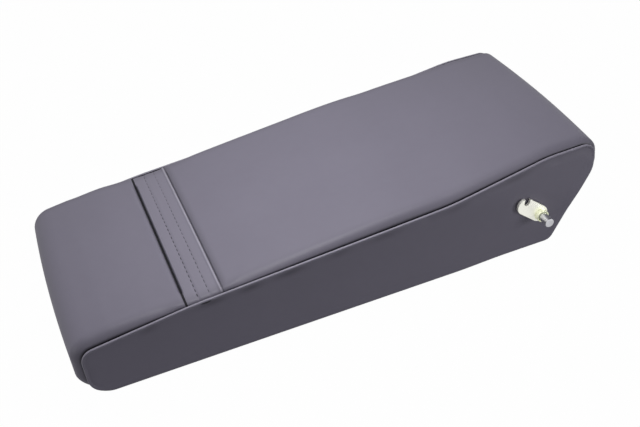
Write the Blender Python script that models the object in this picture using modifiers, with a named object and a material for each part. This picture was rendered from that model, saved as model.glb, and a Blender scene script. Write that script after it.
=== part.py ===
"""Rear seat armrest of a car: leather cover, foam pads, steel frame and the two hinge pins at its rear end.

The armrest lies on its level underside. -X is its free front end, +X its hinged rear end and +Z is up. The
origin is on the underside, midway along its length and width. Every length is in metres.
"""

import math

import bmesh
import bpy
from mathutils import Matrix, Vector

MM = 0.001

# Overall size
LENGTH = 475 * MM
WIDTH = 200 * MM

# Side profile: heights of the top seam above the underside, and where the profile turns
NOSE_HEIGHT = 46.7 * MM
CREST_HEIGHT = 59.0 * MM
CREST_FROM_FRONT = 103.2 * MM
KNEE_HEIGHT = 73.0 * MM
KNEE_FROM_REAR = 144 * MM
REAR_HEIGHT = 87 * MM
SHOULDER_FROM_REAR = 50.3 * MM
REAR_LEAN = math.radians(31.5)
CHIN_RADIUS = 20 * MM
NOSE_RADIUS = 12 * MM
CREST_RADIUS = 300 * MM
KNEE_RADIUS = 200 * MM
SHOULDER_RADIUS = 120 * MM
REAR_EDGE_RADIUS = 14 * MM
HEEL_RADIUS = 10 * MM

# How far the stuffed faces stand above the side seams, and the width over which they round down to them.
# The top's lift changes along the armrest, given at shares of its length from the front.
NOSE_LIFT = 7 * MM
TOP_LIFTS = (
    (0.08, 5.8 * MM),
    (0.14, 3.8 * MM),
    (0.20, 1.2 * MM),
    (0.27, 1.0 * MM),
    (0.35, 2.6 * MM),
    (0.52, 4.9 * MM),
    (0.61, 5.6 * MM),
    (0.70, 4.6 * MM),
    (0.86, 2.6 * MM),
)
REAR_LIFT = 3 * MM
CROWN = 3 * MM
EDGE_ROUND = 5 * MM

# The sides lean in at the rear top, past a fold that runs down from the top edge to the rear edge
SIDE_LEAN = 6 * MM
FOLD_START_FROM_REAR = 142 * MM
FOLD_END_HEIGHT = 45 * MM

# Leather cover
LEATHER = 1.5 * MM
SEAM_ROLL_WIDTH = 3 * MM
SEAM_ROLL_HEIGHT = 0.7 * MM
BAND_FROM_FRONT = 100.3 * MM
BAND_WIDTH = 30 * MM
BAND_SINK = 0.9 * MM
BAND_GROOVE = 1.5 * MM
FRONT_TURN_UNDER = 30 * MM
REAR_TURN_UNDER = 18 * MM
FIT_GAP = 0.3 * MM

# Hinge pin and its lug
PIVOT_FROM_REAR = 61 * MM
PIVOT_HEIGHT = 36 * MM
PIN_RADIUS = 4 * MM
PIN_REACH = 18 * MM
PIN_INNER_LENGTH = 34 * MM
PIN_CHAMFER = 0.5 * MM
LUG_THICKNESS = 2.5 * MM
LUG_STANDOFF = 1.4 * MM
LUG_END_RADIUS = 7.7 * MM
LUG_NEAR_CENTRE = 2 * MM
LUG_FAR_CENTRE = 19.9 * MM
LUG_TILT = math.radians(138.5)
LUG_NOTCH_RADIUS = 2.6 * MM
LUG_NOTCH_OFFSET = 3.7 * MM
LUG_NOTCH_ANGLE = math.radians(76)
COLLAR_RADIUS = 5.4 * MM
COLLAR_LENGTH = 3.8 * MM

# Bearing of the pin
BUSH_WALL = 1.7 * MM
BUSH_FLANGE_RADIUS = 8 * MM
BUSH_FLANGE = 1.2 * MM
SLEEVE_WALL = 1.7 * MM
SLEEVE_LENGTH = 26 * MM
WASHER_RADIUS = 8 * MM
WASHER_THICKNESS = 1 * MM
CIRCLIP_RADIUS = 6.2 * MM
CIRCLIP_THICKNESS = 0.9 * MM
CIRCLIP_OPENING = math.radians(60)
GROOVE_DEPTH = 0.8 * MM

# Steel frame
FRAME_HEIGHT = 24 * MM
HOOP_RADIUS = 6 * MM
HOOP_WALL = 1.5 * MM
HOOP_CORNER_RADIUS = 40 * MM
HOOP_FROM_FRONT = 43.5 * MM
HOOP_END_BEFORE_PIVOT = 20 * MM
CROSS_BAR_RADIUS = 5 * MM
CROSS_BAR_BEFORE_PIVOT = 36 * MM
BRACKET_THICKNESS = 3 * MM
BRACKET_INSET = 12 * MM
BRACKET_REACH = 85 * MM
BRACKET_HEAD = 15 * MM
BRACKET_TAIL = 12 * MM
BRACKET_DROP = 20 * MM
BRACKET_FOOT_HEIGHT = 15 * MM
BRACKET_CORNER_RADIUS = 6 * MM
BRACKET_HOLE_RADIUS = 6 * MM
BRACKET_HOLE_BEFORE_PIVOT = 47 * MM
BRACKET_HOLE_DROP = 7 * MM
PLATE_THICKNESS = 1 * MM
PLATE_FROM_FRONT = 58.5 * MM
PLATE_BEFORE_BRACKET = 5 * MM
PLATE_LIP = 5 * MM
PLATE_RIB_PITCH = 36 * MM
PLATE_RIBS = 4
PLATE_RIB_WIDTH = 12 * MM
PLATE_RIB_TOP = 8 * MM
PLATE_RIB_HEIGHT = 3 * MM
PLATE_HOLE_RADIUS = 9 * MM
PLATE_HOLE_PITCH = 48 * MM
PLATE_HOLE_EDGE = 24 * MM

# Tie-down under the front seam of the stitched band
WIRE_RADIUS = 1.25 * MM
WIRE_END_MARGIN = 15 * MM
WIRE_SPACING = 6.5 * MM
ANCHOR_ABOVE_FRAME = 18 * MM
RING_WIRE_RADIUS = 0.7 * MM
RING_COUNT = 4
RING_PITCH = 44 * MM
LISTING_THICKNESS = 1 * MM
CHANNEL_HALF_WIDTH = 4 * MM
RING_SLOT_HALF_WIDTH = 1.6 * MM

# Fineness of the round stretches
SHARP_ANGLE = math.radians(40)
ARC_STEP = math.radians(14)
EDGE_STEPS = 3
CROWN_STATIONS = 5
ROUND_STEPS = 32
HOLE_STEPS = 16
TUBE_STEPS = 12
HOOP_FINENESS = 4
RING_FINENESS = 2
HOOP_BEND_STEPS = 8
RING_TURN_STEPS = 6
NOTCH_STEPS = 8
CUT_CLEAR = 2 * MM
MERGE = 0.01 * MM

# The near side is the armrest's left
SIDES = {"left": -1, "right": 1}

# Places that follow from the sizes above
HALF_WIDTH = WIDTH / 2
FRONT_X = -LENGTH / 2 + NOSE_LIFT + CROWN
REAR_X = LENGTH / 2 - REAR_LIFT - CROWN
SIDE_INNER_Y = HALF_WIDTH - SEAM_ROLL_HEIGHT - LEATHER
SKIN_END_Y = SIDE_INNER_Y - FIT_GAP
FOAM_INSET = LEATHER + FIT_GAP
FOAM_END_Y = SKIN_END_Y - FOAM_INSET
BAND_START_X = -LENGTH / 2 + BAND_FROM_FRONT
BAND_END_X = BAND_START_X + BAND_WIDTH
PIVOT_X = LENGTH / 2 - PIVOT_FROM_REAR
LUG_INNER_Y = HALF_WIDTH - SEAM_ROLL_HEIGHT + LUG_STANDOFF
BORE_RADIUS = PIN_RADIUS + FIT_GAP
BUSH_RADIUS = BORE_RADIUS + BUSH_WALL
SLEEVE_BORE_RADIUS = BUSH_RADIUS + FIT_GAP
SLEEVE_RADIUS = SLEEVE_BORE_RADIUS + SLEEVE_WALL
BUSH_FLANGE_OUTER_Y = SIDE_INNER_Y - FIT_GAP
SLEEVE_OUTER_Y = BUSH_FLANGE_OUTER_Y - BUSH_FLANGE - FIT_GAP
SLEEVE_INNER_Y = SLEEVE_OUTER_Y - SLEEVE_LENGTH
WASHER_INNER_Y = SLEEVE_INNER_Y - FIT_GAP - WASHER_THICKNESS
CIRCLIP_OUTER_Y = WASHER_INNER_Y - FIT_GAP
CIRCLIP_INNER_Y = CIRCLIP_OUTER_Y - CIRCLIP_THICKNESS
PIN_OUTER_Y = HALF_WIDTH + PIN_REACH
PIN_INNER_Y = HALF_WIDTH - PIN_INNER_LENGTH
BRACKET_OUTER_Y = HALF_WIDTH - BRACKET_INSET
BRACKET_INNER_Y = BRACKET_OUTER_Y - BRACKET_THICKNESS
HOOP_Y = BRACKET_INNER_Y - FIT_GAP - HOOP_RADIUS
HOOP_FRONT_X = -LENGTH / 2 + HOOP_FROM_FRONT
HOOP_END_X = PIVOT_X - HOOP_END_BEFORE_PIVOT
CROSS_BAR_X = PIVOT_X - CROSS_BAR_BEFORE_PIVOT
PLATE_START_X = -LENGTH / 2 + PLATE_FROM_FRONT
PLATE_END_X = PIVOT_X - BRACKET_REACH - PLATE_BEFORE_BRACKET
PLATE_MID_Z = FRAME_HEIGHT + HOOP_RADIUS + FIT_GAP + PLATE_THICKNESS / 2
PLATE_LIP_Y = HOOP_Y + HOOP_RADIUS + FIT_GAP + PLATE_THICKNESS / 2
TIE_X = BAND_START_X - BAND_GROOVE / 2
ANCHOR_Z = FRAME_HEIGHT + ANCHOR_ABOVE_FRAME
TIE_Z = ANCHOR_Z + WIRE_SPACING
RING_TURN_RADIUS = WIRE_RADIUS + FIT_GAP + RING_WIRE_RADIUS
WIRE_HALF_LENGTH = HALF_WIDTH - WIRE_END_MARGIN

for old in list(bpy.data.objects):
    bpy.data.objects.remove(old, do_unlink=True)

PARTS = bpy.data.collections.new("rear_seat_armrest")
CUTTERS = bpy.data.collections.new("cutters")
bpy.context.scene.collection.children.link(PARTS)
bpy.context.scene.collection.children.link(CUTTERS)


def make_material(name, colour, roughness, metallic):
    """A plain Principled material."""
    made = bpy.data.materials.new(name)
    made.use_nodes = True
    shader = made.node_tree.nodes["Principled BSDF"]
    shader.inputs["Base Color"].default_value = (*colour, 1)
    shader.inputs["Roughness"].default_value = roughness
    shader.inputs["Metallic"].default_value = metallic
    made.diffuse_color = (*colour, 1)
    return made


LEATHER_MATERIAL = make_material("grey_leather", (0.16, 0.155, 0.18), 0.5, 0)
FOAM_MATERIAL = make_material("moulded_foam", (0.72, 0.66, 0.45), 0.95, 0)
FRAME_MATERIAL = make_material("black_steel", (0.03, 0.03, 0.032), 0.5, 0.4)
ZINC_MATERIAL = make_material("yellow_zinc", (0.75, 0.74, 0.56), 0.3, 1)
PIN_MATERIAL = make_material("ground_steel", (0.35, 0.35, 0.37), 0.35, 1)
NYLON_MATERIAL = make_material("black_nylon", (0.02, 0.02, 0.02), 0.55, 0)
WIRE_MATERIAL = make_material("bright_wire", (0.5, 0.5, 0.52), 0.4, 1)
LISTING_MATERIAL = make_material("listing_cloth", (0.6, 0.6, 0.58), 0.9, 0)


def new_object(name, data, material, collection=PARTS):
    """An object in its collection, with its one material."""
    made = bpy.data.objects.new(name, data)
    collection.objects.link(made)
    if material:
        data.materials.append(material)
    return made


def mesh_object(name, bm, material, collection=PARTS):
    """An object from a finished bmesh, round faces shaded smooth."""
    data = bpy.data.meshes.new(name)
    bm.to_mesh(data)
    bm.free()
    data.shade_smooth()
    data.set_sharp_from_angle(angle=SHARP_ANGLE)
    return new_object(name, data, material, collection)


def as_helper(made):
    """Marks a cutter or a shape that is only joined to a part."""
    made.hide_render = True
    made.display_type = "WIRE"
    return made


def boolean(target, helper, operation="DIFFERENCE"):
    """Cuts a helper out of a part, or joins it on."""
    modifier = target.modifiers.new(f"{operation.lower()}_{helper.name}", "BOOLEAN")
    modifier.operation = operation
    modifier.solver = "EXACT"
    modifier.object = helper


def solidify(target, thickness, offset):
    """Gives an open surface its wall."""
    modifier = target.modifiers.new("wall", "SOLIDIFY")
    modifier.thickness = thickness
    modifier.offset = offset
    modifier.use_even_offset = True


def box_mesh(low, high):
    """A box between two corners."""
    low, high = Vector(low), Vector(high)
    bm = bmesh.new()
    place = Matrix.Translation((low + high) / 2) @ Matrix.Diagonal((*(high - low), 1))
    bmesh.ops.create_cube(bm, size=1, matrix=place)
    return bm


def box_cutter(name, low, high):
    """A box that only cuts."""
    return as_helper(mesh_object(name, box_mesh(low, high), None, CUTTERS))


def cylinder(name, radius, low, high, material, collection=PARTS, steps=ROUND_STEPS):
    """A solid cylinder between two points."""
    low, high = Vector(low), Vector(high)
    turn = (high - low).to_track_quat("Z", "Y").to_matrix().to_4x4()
    bm = bmesh.new()
    place = Matrix.Translation((low + high) / 2) @ turn
    depth = (high - low).length
    bmesh.ops.create_cone(
        bm, cap_ends=True, segments=steps, radius1=radius, radius2=radius, depth=depth, matrix=place
    )
    return mesh_object(name, bm, material, collection)


def cylinder_cutter(name, radius, low, high, steps=ROUND_STEPS):
    """A cylinder that only cuts."""
    return as_helper(cylinder(name, radius, low, high, None, CUTTERS, steps))


def rounded_corners(corners, inset=0.0):
    """Points and outward directions round a closed outline given clockwise as (x, z, radius) corners.

    The outline is first moved inwards by inset, and every corner becomes an arc.
    """
    points = [Vector((x, z)) for x, z, _ in corners]
    count = len(points)
    edges = [(points[(i + 1) % count] - points[i]).normalized() for i in range(count)]
    outward = [Vector((-edge.y, edge.x)) for edge in edges]
    made = []
    for i in range(count):
        before, after = edges[i - 1], edges[i]
        turn = math.atan2(before.x * after.y - before.y * after.x, before.dot(after))
        bisector = (outward[i - 1] + outward[i]) / (1 + outward[i - 1].dot(outward[i]))
        corner = points[i] - bisector * inset
        convex = turn < 0
        radius = corners[i][2] - inset if convex else corners[i][2] + inset
        side = 1 if convex else -1
        centre = corner - bisector * radius * side
        steps = max(2, math.ceil(abs(turn) / ARC_STEP))
        for step in range(steps + 1):
            direction = outward[i - 1].copy()
            direction.rotate(Matrix.Rotation(turn * step / steps, 2))
            made.append((centre + direction * radius * side, direction))
    return made


def side_corners():
    """The armrest's side profile, clockwise from the chin as seen from the near side."""
    edge_angle = math.pi / 2 - REAR_LEAN
    top_rear_x = REAR_X - REAR_EDGE_RADIUS + REAR_EDGE_RADIUS / math.tan(edge_angle / 2)
    heel_x = top_rear_x - REAR_HEIGHT * math.tan(REAR_LEAN)
    return [
        (FRONT_X, 0, CHIN_RADIUS),
        (FRONT_X, NOSE_HEIGHT, NOSE_RADIUS),
        (-LENGTH / 2 + CREST_FROM_FRONT, CREST_HEIGHT, CREST_RADIUS),
        (LENGTH / 2 - KNEE_FROM_REAR, KNEE_HEIGHT, KNEE_RADIUS),
        (LENGTH / 2 - SHOULDER_FROM_REAR, REAR_HEIGHT, SHOULDER_RADIUS),
        (top_rear_x, REAR_HEIGHT, REAR_EDGE_RADIUS),
        (heel_x, 0, HEEL_RADIUS),
    ]


def profile(inset=0.0):
    """The side profile, rounded, with a point of its own wherever the top's lift is given."""
    run = rounded_corners(side_corners(), inset)
    for share, _ in TOP_LIFTS:
        place, point = crossing(run, (share - 0.5) * LENGTH, True, range(len(run) - 1))
        run.insert(math.floor(place) + 1, point)
    return run


def profile_run(inset=0.0):
    """The side profile as an open run that starts and ends on the underside, past both of its seams."""
    run = profile(inset)
    return [run[-1], *run, run[0]]


def crossing(run, x, on_top, steps):
    """Where the run passes x on its top or on its underside, trying its stretches in the given order."""
    for index in steps:
        (low, low_out), (high, high_out) = run[index], run[index + 1]
        faces_up = low_out.y + high_out.y > 0
        if faces_up == on_top and low.x != high.x and min(low.x, high.x) <= x <= max(low.x, high.x):
            share = (x - low.x) / (high.x - low.x)
            return index + share, (low.lerp(high, share), low_out.lerp(high_out, share).normalized())
    raise ValueError("the side profile does not reach this seam")


def between(run, start, end):
    """The stretch of the run from start to end, each given as (x, on_top)."""
    order = range(len(run) - 1)
    first, first_point = crossing(run, *start, order)
    last, last_point = crossing(run, *end, reversed(order))
    inner = [run[i] for i in range(math.floor(first) + 1, math.ceil(last))]
    return [first_point, *inner, last_point]


def eased(value, low, high):
    """0 before low, 1 past high, and a smooth rise between them."""
    share = min(max((value - low) / (high - low), 0), 1)
    return share * share * (3 - 2 * share)


def top_lift(x):
    """How far the top stands above the side seams at x."""
    share = x / LENGTH + 0.5
    lift = TOP_LIFTS[0][1]
    for (low, start), (high, end) in zip(TOP_LIFTS, TOP_LIFTS[1:]):
        lift += (end - start) * min(max((share - low) / (high - low), 0), 1)
    return lift


def swollen(point, outward, y, end_y=SKIN_END_Y):
    """A point of the side profile carried across to y, with the lift of the stuffed faces.

    A face that ends at end_y rounds down to the side profile there.
    """
    end_lift = NOSE_LIFT if outward.x < 0 else REAR_LIFT
    lift = top_lift(point.x)
    lift += (end_lift - lift) * outward.x**2
    crown = CROWN * (1 - (y / HALF_WIDTH) ** 2)
    turn = 1 - min(max(end_y - abs(y), 0) / EDGE_ROUND, 1)
    rise = (lift * math.sqrt(1 - turn**2) + crown) * eased(outward.y, -1, 0.1)
    return Vector((point.x + outward.x * rise, y, point.y + outward.y * rise))


def stations(half):
    """Places across the armrest, from -half to half, close together where the faces round down."""
    rounding = [EDGE_ROUND * (1 - math.cos(math.pi / 2 * step / EDGE_STEPS)) for step in range(EDGE_STEPS)]
    inner = half - EDGE_ROUND
    between_edges = [inner * (2 * i / (CROWN_STATIONS - 1) - 1) for i in range(CROWN_STATIONS)]
    near = [-half + step for step in rounding]
    return [*near, *between_edges, *(-y for y in reversed(near))]


def leaned_in(bm):
    """Folds a mesh inwards at the rear top, where the sides lean in."""
    corner = side_corners()[-2]
    heel = side_corners()[-1]
    share = FOLD_END_HEIGHT / corner[1]
    fold_end = Vector((heel[0] + (corner[0] - heel[0]) * share, 0, FOLD_END_HEIGHT))
    fold_start = Vector((LENGTH / 2 - FOLD_START_FROM_REAR, 0, KNEE_HEIGHT))
    along = (fold_end - fold_start).normalized()
    across = Vector((-along.z, 0, along.x))
    geometry = [*bm.verts, *bm.edges, *bm.faces]
    bmesh.ops.bisect_plane(bm, geom=geometry, dist=MERGE, plane_co=fold_start, plane_no=across)
    full = (Vector((corner[0], 0, corner[1])) - fold_start).dot(across)
    for vert in bm.verts:
        past = max((vert.co - fold_start).dot(across), 0)
        vert.co.y *= 1 - SIDE_LEAN / HALF_WIDTH * past / full
    return bm


def loft(sections, closed):
    """Faces between unlike sections, capped at both ends where the sections are closed."""
    bm = bmesh.new()
    rows = [[bm.verts.new(point) for point in section] for section in sections]
    count = len(rows[0])
    for near, far in zip(rows, rows[1:]):
        for i in range(count if closed else count - 1):
            j = (i + 1) % count
            bm.faces.new((near[i], near[j], far[j], far[i]))
    if closed:
        bm.faces.new(rows[0][::-1])
        bm.faces.new(rows[-1])
        bmesh.ops.recalc_face_normals(bm, faces=bm.faces)
    return bm


def plate(name, outline, y_low, y_high, material, collection=PARTS):
    """A flat piece with the given outline of (x, z) points, between two places across the armrest."""
    bm = bmesh.new()
    face = bm.faces.new([bm.verts.new((point.x, y_low, point.y)) for point in outline])
    grown = bmesh.ops.extrude_face_region(bm, geom=[face])
    moved = [item for item in grown["geom"] if isinstance(item, bmesh.types.BMVert)]
    bmesh.ops.translate(bm, verts=moved, vec=(0, y_high - y_low, 0))
    bmesh.ops.recalc_face_normals(bm, faces=bm.faces)
    return mesh_object(name, bm, material, collection)


def turned(name, section, side, material):
    """A piece turned about the hinge axis from (radius, distance from the middle of the armrest) points."""
    data = bpy.data.meshes.new(name)
    points = [(radius, 0, reach) for radius, reach in section]
    edges = [(i, i + 1) for i in range(len(points) - 1)]
    if section[0][0] > 0:
        edges.append((len(points) - 1, 0))
    data.from_pydata(points, edges, [])
    made = new_object(name, data, material)
    screw = made.modifiers.new("turn", "SCREW")
    screw.steps = screw.render_steps = ROUND_STEPS
    screw.use_merge_vertices = True
    screw.merge_threshold = MERGE
    made.location = (PIVOT_X, 0, PIVOT_HEIGHT)
    made.rotation_euler = (-side * math.pi / 2, 0, 0)
    return made


def ring_profile(inner, outer, low, high):
    """The section of a plain ring or tube."""
    return [(inner, high), (outer, high), (outer, low), (inner, low)]


def bent_wire(name, points, radius, resolution, cyclic=False, caps=True):
    """A mesh tube of one radius along a run of points."""
    curve = bpy.data.curves.new(name, "CURVE")
    curve.dimensions = "3D"
    curve.bevel_depth = radius
    curve.bevel_resolution = resolution
    curve.use_fill_caps = caps and not cyclic
    spline = curve.splines.new("POLY")
    spline.points.add(len(points) - 1)
    for target, point in zip(spline.points, points):
        target.co = (*point, 1)
    spline.use_cyclic_u = cyclic
    carrier = bpy.data.objects.new(name, curve)
    PARTS.objects.link(carrier)
    depsgraph = bpy.context.evaluated_depsgraph_get()
    bm = bmesh.new()
    bm.from_mesh(carrier.evaluated_get(depsgraph).to_mesh())
    bpy.data.objects.remove(carrier, do_unlink=True)
    bmesh.ops.remove_doubles(bm, verts=bm.verts, dist=MERGE)
    return bm


def skin_panel(name, start, end, sink=0.0):
    """One panel of the cover that runs across the armrest, from start to end along its side profile."""
    stretch = between(profile_run(sink), start, end)
    sections = [[swollen(point, outward, y) for point, outward in stretch] for y in stations(SKIN_END_Y)]
    bm = leaned_in(loft(sections, closed=False))
    bm.normal_update()
    _, outward = stretch[0]
    bm.faces.ensure_lookup_table()
    if bm.faces[0].normal.dot(Vector((outward.x, 0, outward.y))) < 0:
        bmesh.ops.reverse_faces(bm, faces=bm.faces)
    panel = mesh_object(name, bm, LEATHER_MATERIAL)
    solidify(panel, LEATHER, -1)
    return panel


def build_side_cover(name, side):
    """A side panel whose turned edge stands up along the seam, with the hole for the hinge pin."""
    outline = [point for point, _ in rounded_corners(side_corners())]
    y_inner, y_outer = side * SIDE_INNER_Y, side * HALF_WIDTH
    cover = plate(name, outline, y_inner, y_outer, LEATHER_MATERIAL)
    bm = bmesh.new()
    bm.from_mesh(cover.data)
    face = max(bm.faces, key=lambda item: item.calc_center_median().y * side + item.calc_area())
    slope = SEAM_ROLL_WIDTH / 4
    bmesh.ops.inset_region(bm, faces=[face], thickness=SEAM_ROLL_WIDTH - slope, use_even_offset=True)
    bmesh.ops.inset_region(bm, faces=[face], thickness=slope, depth=-SEAM_ROLL_HEIGHT, use_even_offset=True)
    leaned_in(bm).to_mesh(cover.data)
    bm.free()
    low, high = sorted((side * (SIDE_INNER_Y - CUT_CLEAR), side * (HALF_WIDTH + CUT_CLEAR)))
    hole = cylinder_cutter(
        f"{name}_hole", BUSH_RADIUS + FIT_GAP, (PIVOT_X, low, PIVOT_HEIGHT), (PIVOT_X, high, PIVOT_HEIGHT)
    )
    boolean(cover, hole)


def build_cover():
    """The leather cover: nose, stitched band, top, underside and two sides."""
    chin_x = FRONT_X + FRONT_TURN_UNDER
    heel_x = side_corners()[-1][0] - REAR_TURN_UNDER
    skin_panel("front_cover", (chin_x, False), (BAND_START_X - BAND_GROOVE, True))
    skin_panel("stitched_band", (BAND_START_X, True), (BAND_END_X, True), BAND_SINK)
    skin_panel("top_cover", (BAND_END_X + FIT_GAP, True), (heel_x, False))
    bm = box_mesh((chin_x + FIT_GAP, -SKIN_END_Y, 0), (heel_x - FIT_GAP, SKIN_END_Y, LEATHER))
    mesh_object("underside_cover", bm, LEATHER_MATERIAL)
    for name, side in SIDES.items():
        build_side_cover(f"side_cover_{name}", side)


def hoop_path():
    """The bent frame tube: one arm forward, across the front and back along the other side."""
    corner = HOOP_CORNER_RADIUS
    path = [Vector((HOOP_END_X, -HOOP_Y, FRAME_HEIGHT))]
    turns = HOOP_BEND_STEPS
    for side, start in ((-1, 0), (1, math.pi / 2)):
        for step in range(turns + 1):
            angle = start + math.pi / 2 * step / turns
            x = HOOP_FRONT_X + corner - corner * math.sin(angle)
            y = side * (HOOP_Y - corner) - corner * math.cos(angle)
            path.append(Vector((x, y, FRAME_HEIGHT)))
    path.append(Vector((HOOP_END_X, HOOP_Y, FRAME_HEIGHT)))
    return path


def cross_bar_ends():
    """The two ends of the bar between the arms of the hoop."""
    reach = HOOP_Y - HOOP_RADIUS - FIT_GAP
    return [Vector((CROSS_BAR_X, side * reach, FRAME_HEIGHT)) for side in SIDES.values()]


def bracket_outline():
    """The hinge bracket seen from the side, round the sleeve and forward along the hoop."""
    foot_x = PIVOT_X - BRACKET_REACH
    tail_x = PIVOT_X + BRACKET_TAIL
    foot_z = PIVOT_HEIGHT - BRACKET_DROP
    head_z = PIVOT_HEIGHT + BRACKET_HEAD
    corners = [
        (foot_x, foot_z, BRACKET_CORNER_RADIUS),
        (foot_x, foot_z + BRACKET_FOOT_HEIGHT, BRACKET_CORNER_RADIUS),
        (PIVOT_X - BRACKET_HEAD, head_z, BRACKET_HEAD),
        (tail_x, head_z, BRACKET_TAIL),
        (tail_x, PIVOT_HEIGHT - BRACKET_TAIL / 2, BRACKET_CORNER_RADIUS),
        (PIVOT_X, foot_z, BRACKET_CORNER_RADIUS),
    ]
    return [point for point, _ in rounded_corners(corners)]


def build_bracket(name, side):
    """A pressed steel bracket, welded outside the hoop, with its sleeve hole and a lightening hole."""
    low, high = sorted((side * BRACKET_INNER_Y, side * BRACKET_OUTER_Y))
    bracket = plate(name, bracket_outline(), low, high, FRAME_MATERIAL)
    hole_x, hole_z = PIVOT_X - BRACKET_HOLE_BEFORE_PIVOT, PIVOT_HEIGHT - BRACKET_HOLE_DROP
    holes = (
        ("sleeve_hole", SLEEVE_RADIUS + FIT_GAP, PIVOT_X, PIVOT_HEIGHT),
        ("lightening_hole", BRACKET_HOLE_RADIUS, hole_x, hole_z),
    )
    for label, radius, x, z in holes:
        ends = (x, low - CUT_CLEAR, z), (x, high + CUT_CLEAR, z)
        boolean(bracket, cylinder_cutter(f"{name}_{label}", radius, *ends))


def build_support_plate():
    """The ribbed sheet on the hoop, with rows of holes and its lips turned down outside the arms."""
    rib_half, top_half = PLATE_RIB_WIDTH / 2, PLATE_RIB_TOP / 2
    low_z, high_z = PLATE_MID_Z, PLATE_MID_Z + PLATE_RIB_HEIGHT
    ribs = [(i - (PLATE_RIBS - 1) / 2) * PLATE_RIB_PITCH for i in range(PLATE_RIBS)]
    section = [(-PLATE_LIP_Y, low_z - PLATE_LIP), (-PLATE_LIP_Y, low_z)]
    for y in ribs:
        section += [(y - rib_half, low_z), (y - top_half, high_z)]
        section += [(y + top_half, high_z), (y + rib_half, low_z)]
    section += [(PLATE_LIP_Y, low_z), (PLATE_LIP_Y, low_z - PLATE_LIP)]
    bm = loft([[Vector((x, y, z)) for y, z in section] for x in (PLATE_START_X, PLATE_END_X)], closed=False)
    sheet = mesh_object("support_plate", bm, FRAME_MATERIAL)
    solidify(sheet, PLATE_THICKNESS, 0)
    length = PLATE_END_X - PLATE_START_X
    rows = max(1, int((length - 2 * PLATE_HOLE_EDGE) / PLATE_HOLE_PITCH) + 1)
    first_x = (PLATE_START_X + PLATE_END_X - (rows - 1) * PLATE_HOLE_PITCH) / 2
    for row in range(rows):
        for lane, (left, right) in enumerate(zip(ribs, ribs[1:])):
            x, y = first_x + row * PLATE_HOLE_PITCH, (left + right) / 2
            ends = (x, y, low_z - CUT_CLEAR), (x, y, low_z + CUT_CLEAR)
            hole = cylinder_cutter(f"plate_hole_{row}_{lane}", PLATE_HOLE_RADIUS, *ends, steps=HOLE_STEPS)
            boolean(sheet, hole)


def build_frame():
    """The welded steel frame, with a hinge bracket, a bearing sleeve and a bush each side."""
    tube = bent_wire("hoop", hoop_path(), HOOP_RADIUS, HOOP_FINENESS, caps=False)
    hoop = mesh_object("frame_hoop", tube, FRAME_MATERIAL)
    solidify(hoop, HOOP_WALL, -1)
    cylinder("cross_bar", CROSS_BAR_RADIUS, *cross_bar_ends(), FRAME_MATERIAL, steps=HOLE_STEPS)
    build_support_plate()
    for name, side in SIDES.items():
        build_bracket(f"hinge_bracket_{name}", side)
        sleeve = ring_profile(SLEEVE_BORE_RADIUS, SLEEVE_RADIUS, SLEEVE_INNER_Y, SLEEVE_OUTER_Y)
        turned(f"bearing_sleeve_{name}", sleeve, side, FRAME_MATERIAL)
        bush = [
            (BORE_RADIUS, LUG_INNER_Y - FIT_GAP),
            (BUSH_RADIUS, LUG_INNER_Y - FIT_GAP),
            (BUSH_RADIUS, BUSH_FLANGE_OUTER_Y),
            (BUSH_FLANGE_RADIUS, BUSH_FLANGE_OUTER_Y),
            (BUSH_FLANGE_RADIUS, BUSH_FLANGE_OUTER_Y - BUSH_FLANGE),
            (BUSH_RADIUS, BUSH_FLANGE_OUTER_Y - BUSH_FLANGE),
            (BUSH_RADIUS, SLEEVE_INNER_Y),
            (BORE_RADIUS, SLEEVE_INNER_Y),
        ]
        turned(f"pivot_bush_{name}", bush, side, NYLON_MATERIAL)


def lug_outline():
    """The oblong lug plate: two round ends on a line that tilts up and forward from the pin."""
    along = Vector((math.cos(LUG_TILT), math.sin(LUG_TILT)))
    pin = Vector((PIVOT_X, PIVOT_HEIGHT))
    steps = ROUND_STEPS // 2
    outline = []
    for reach, quarter in ((LUG_FAR_CENTRE, math.pi / 2), (LUG_NEAR_CENTRE, -math.pi / 2)):
        for step in range(steps + 1):
            angle = LUG_TILT + quarter - math.pi * step / steps
            around = Vector((math.cos(angle), math.sin(angle)))
            outline.append(pin + along * reach + around * LUG_END_RADIUS)
    return outline


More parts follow.
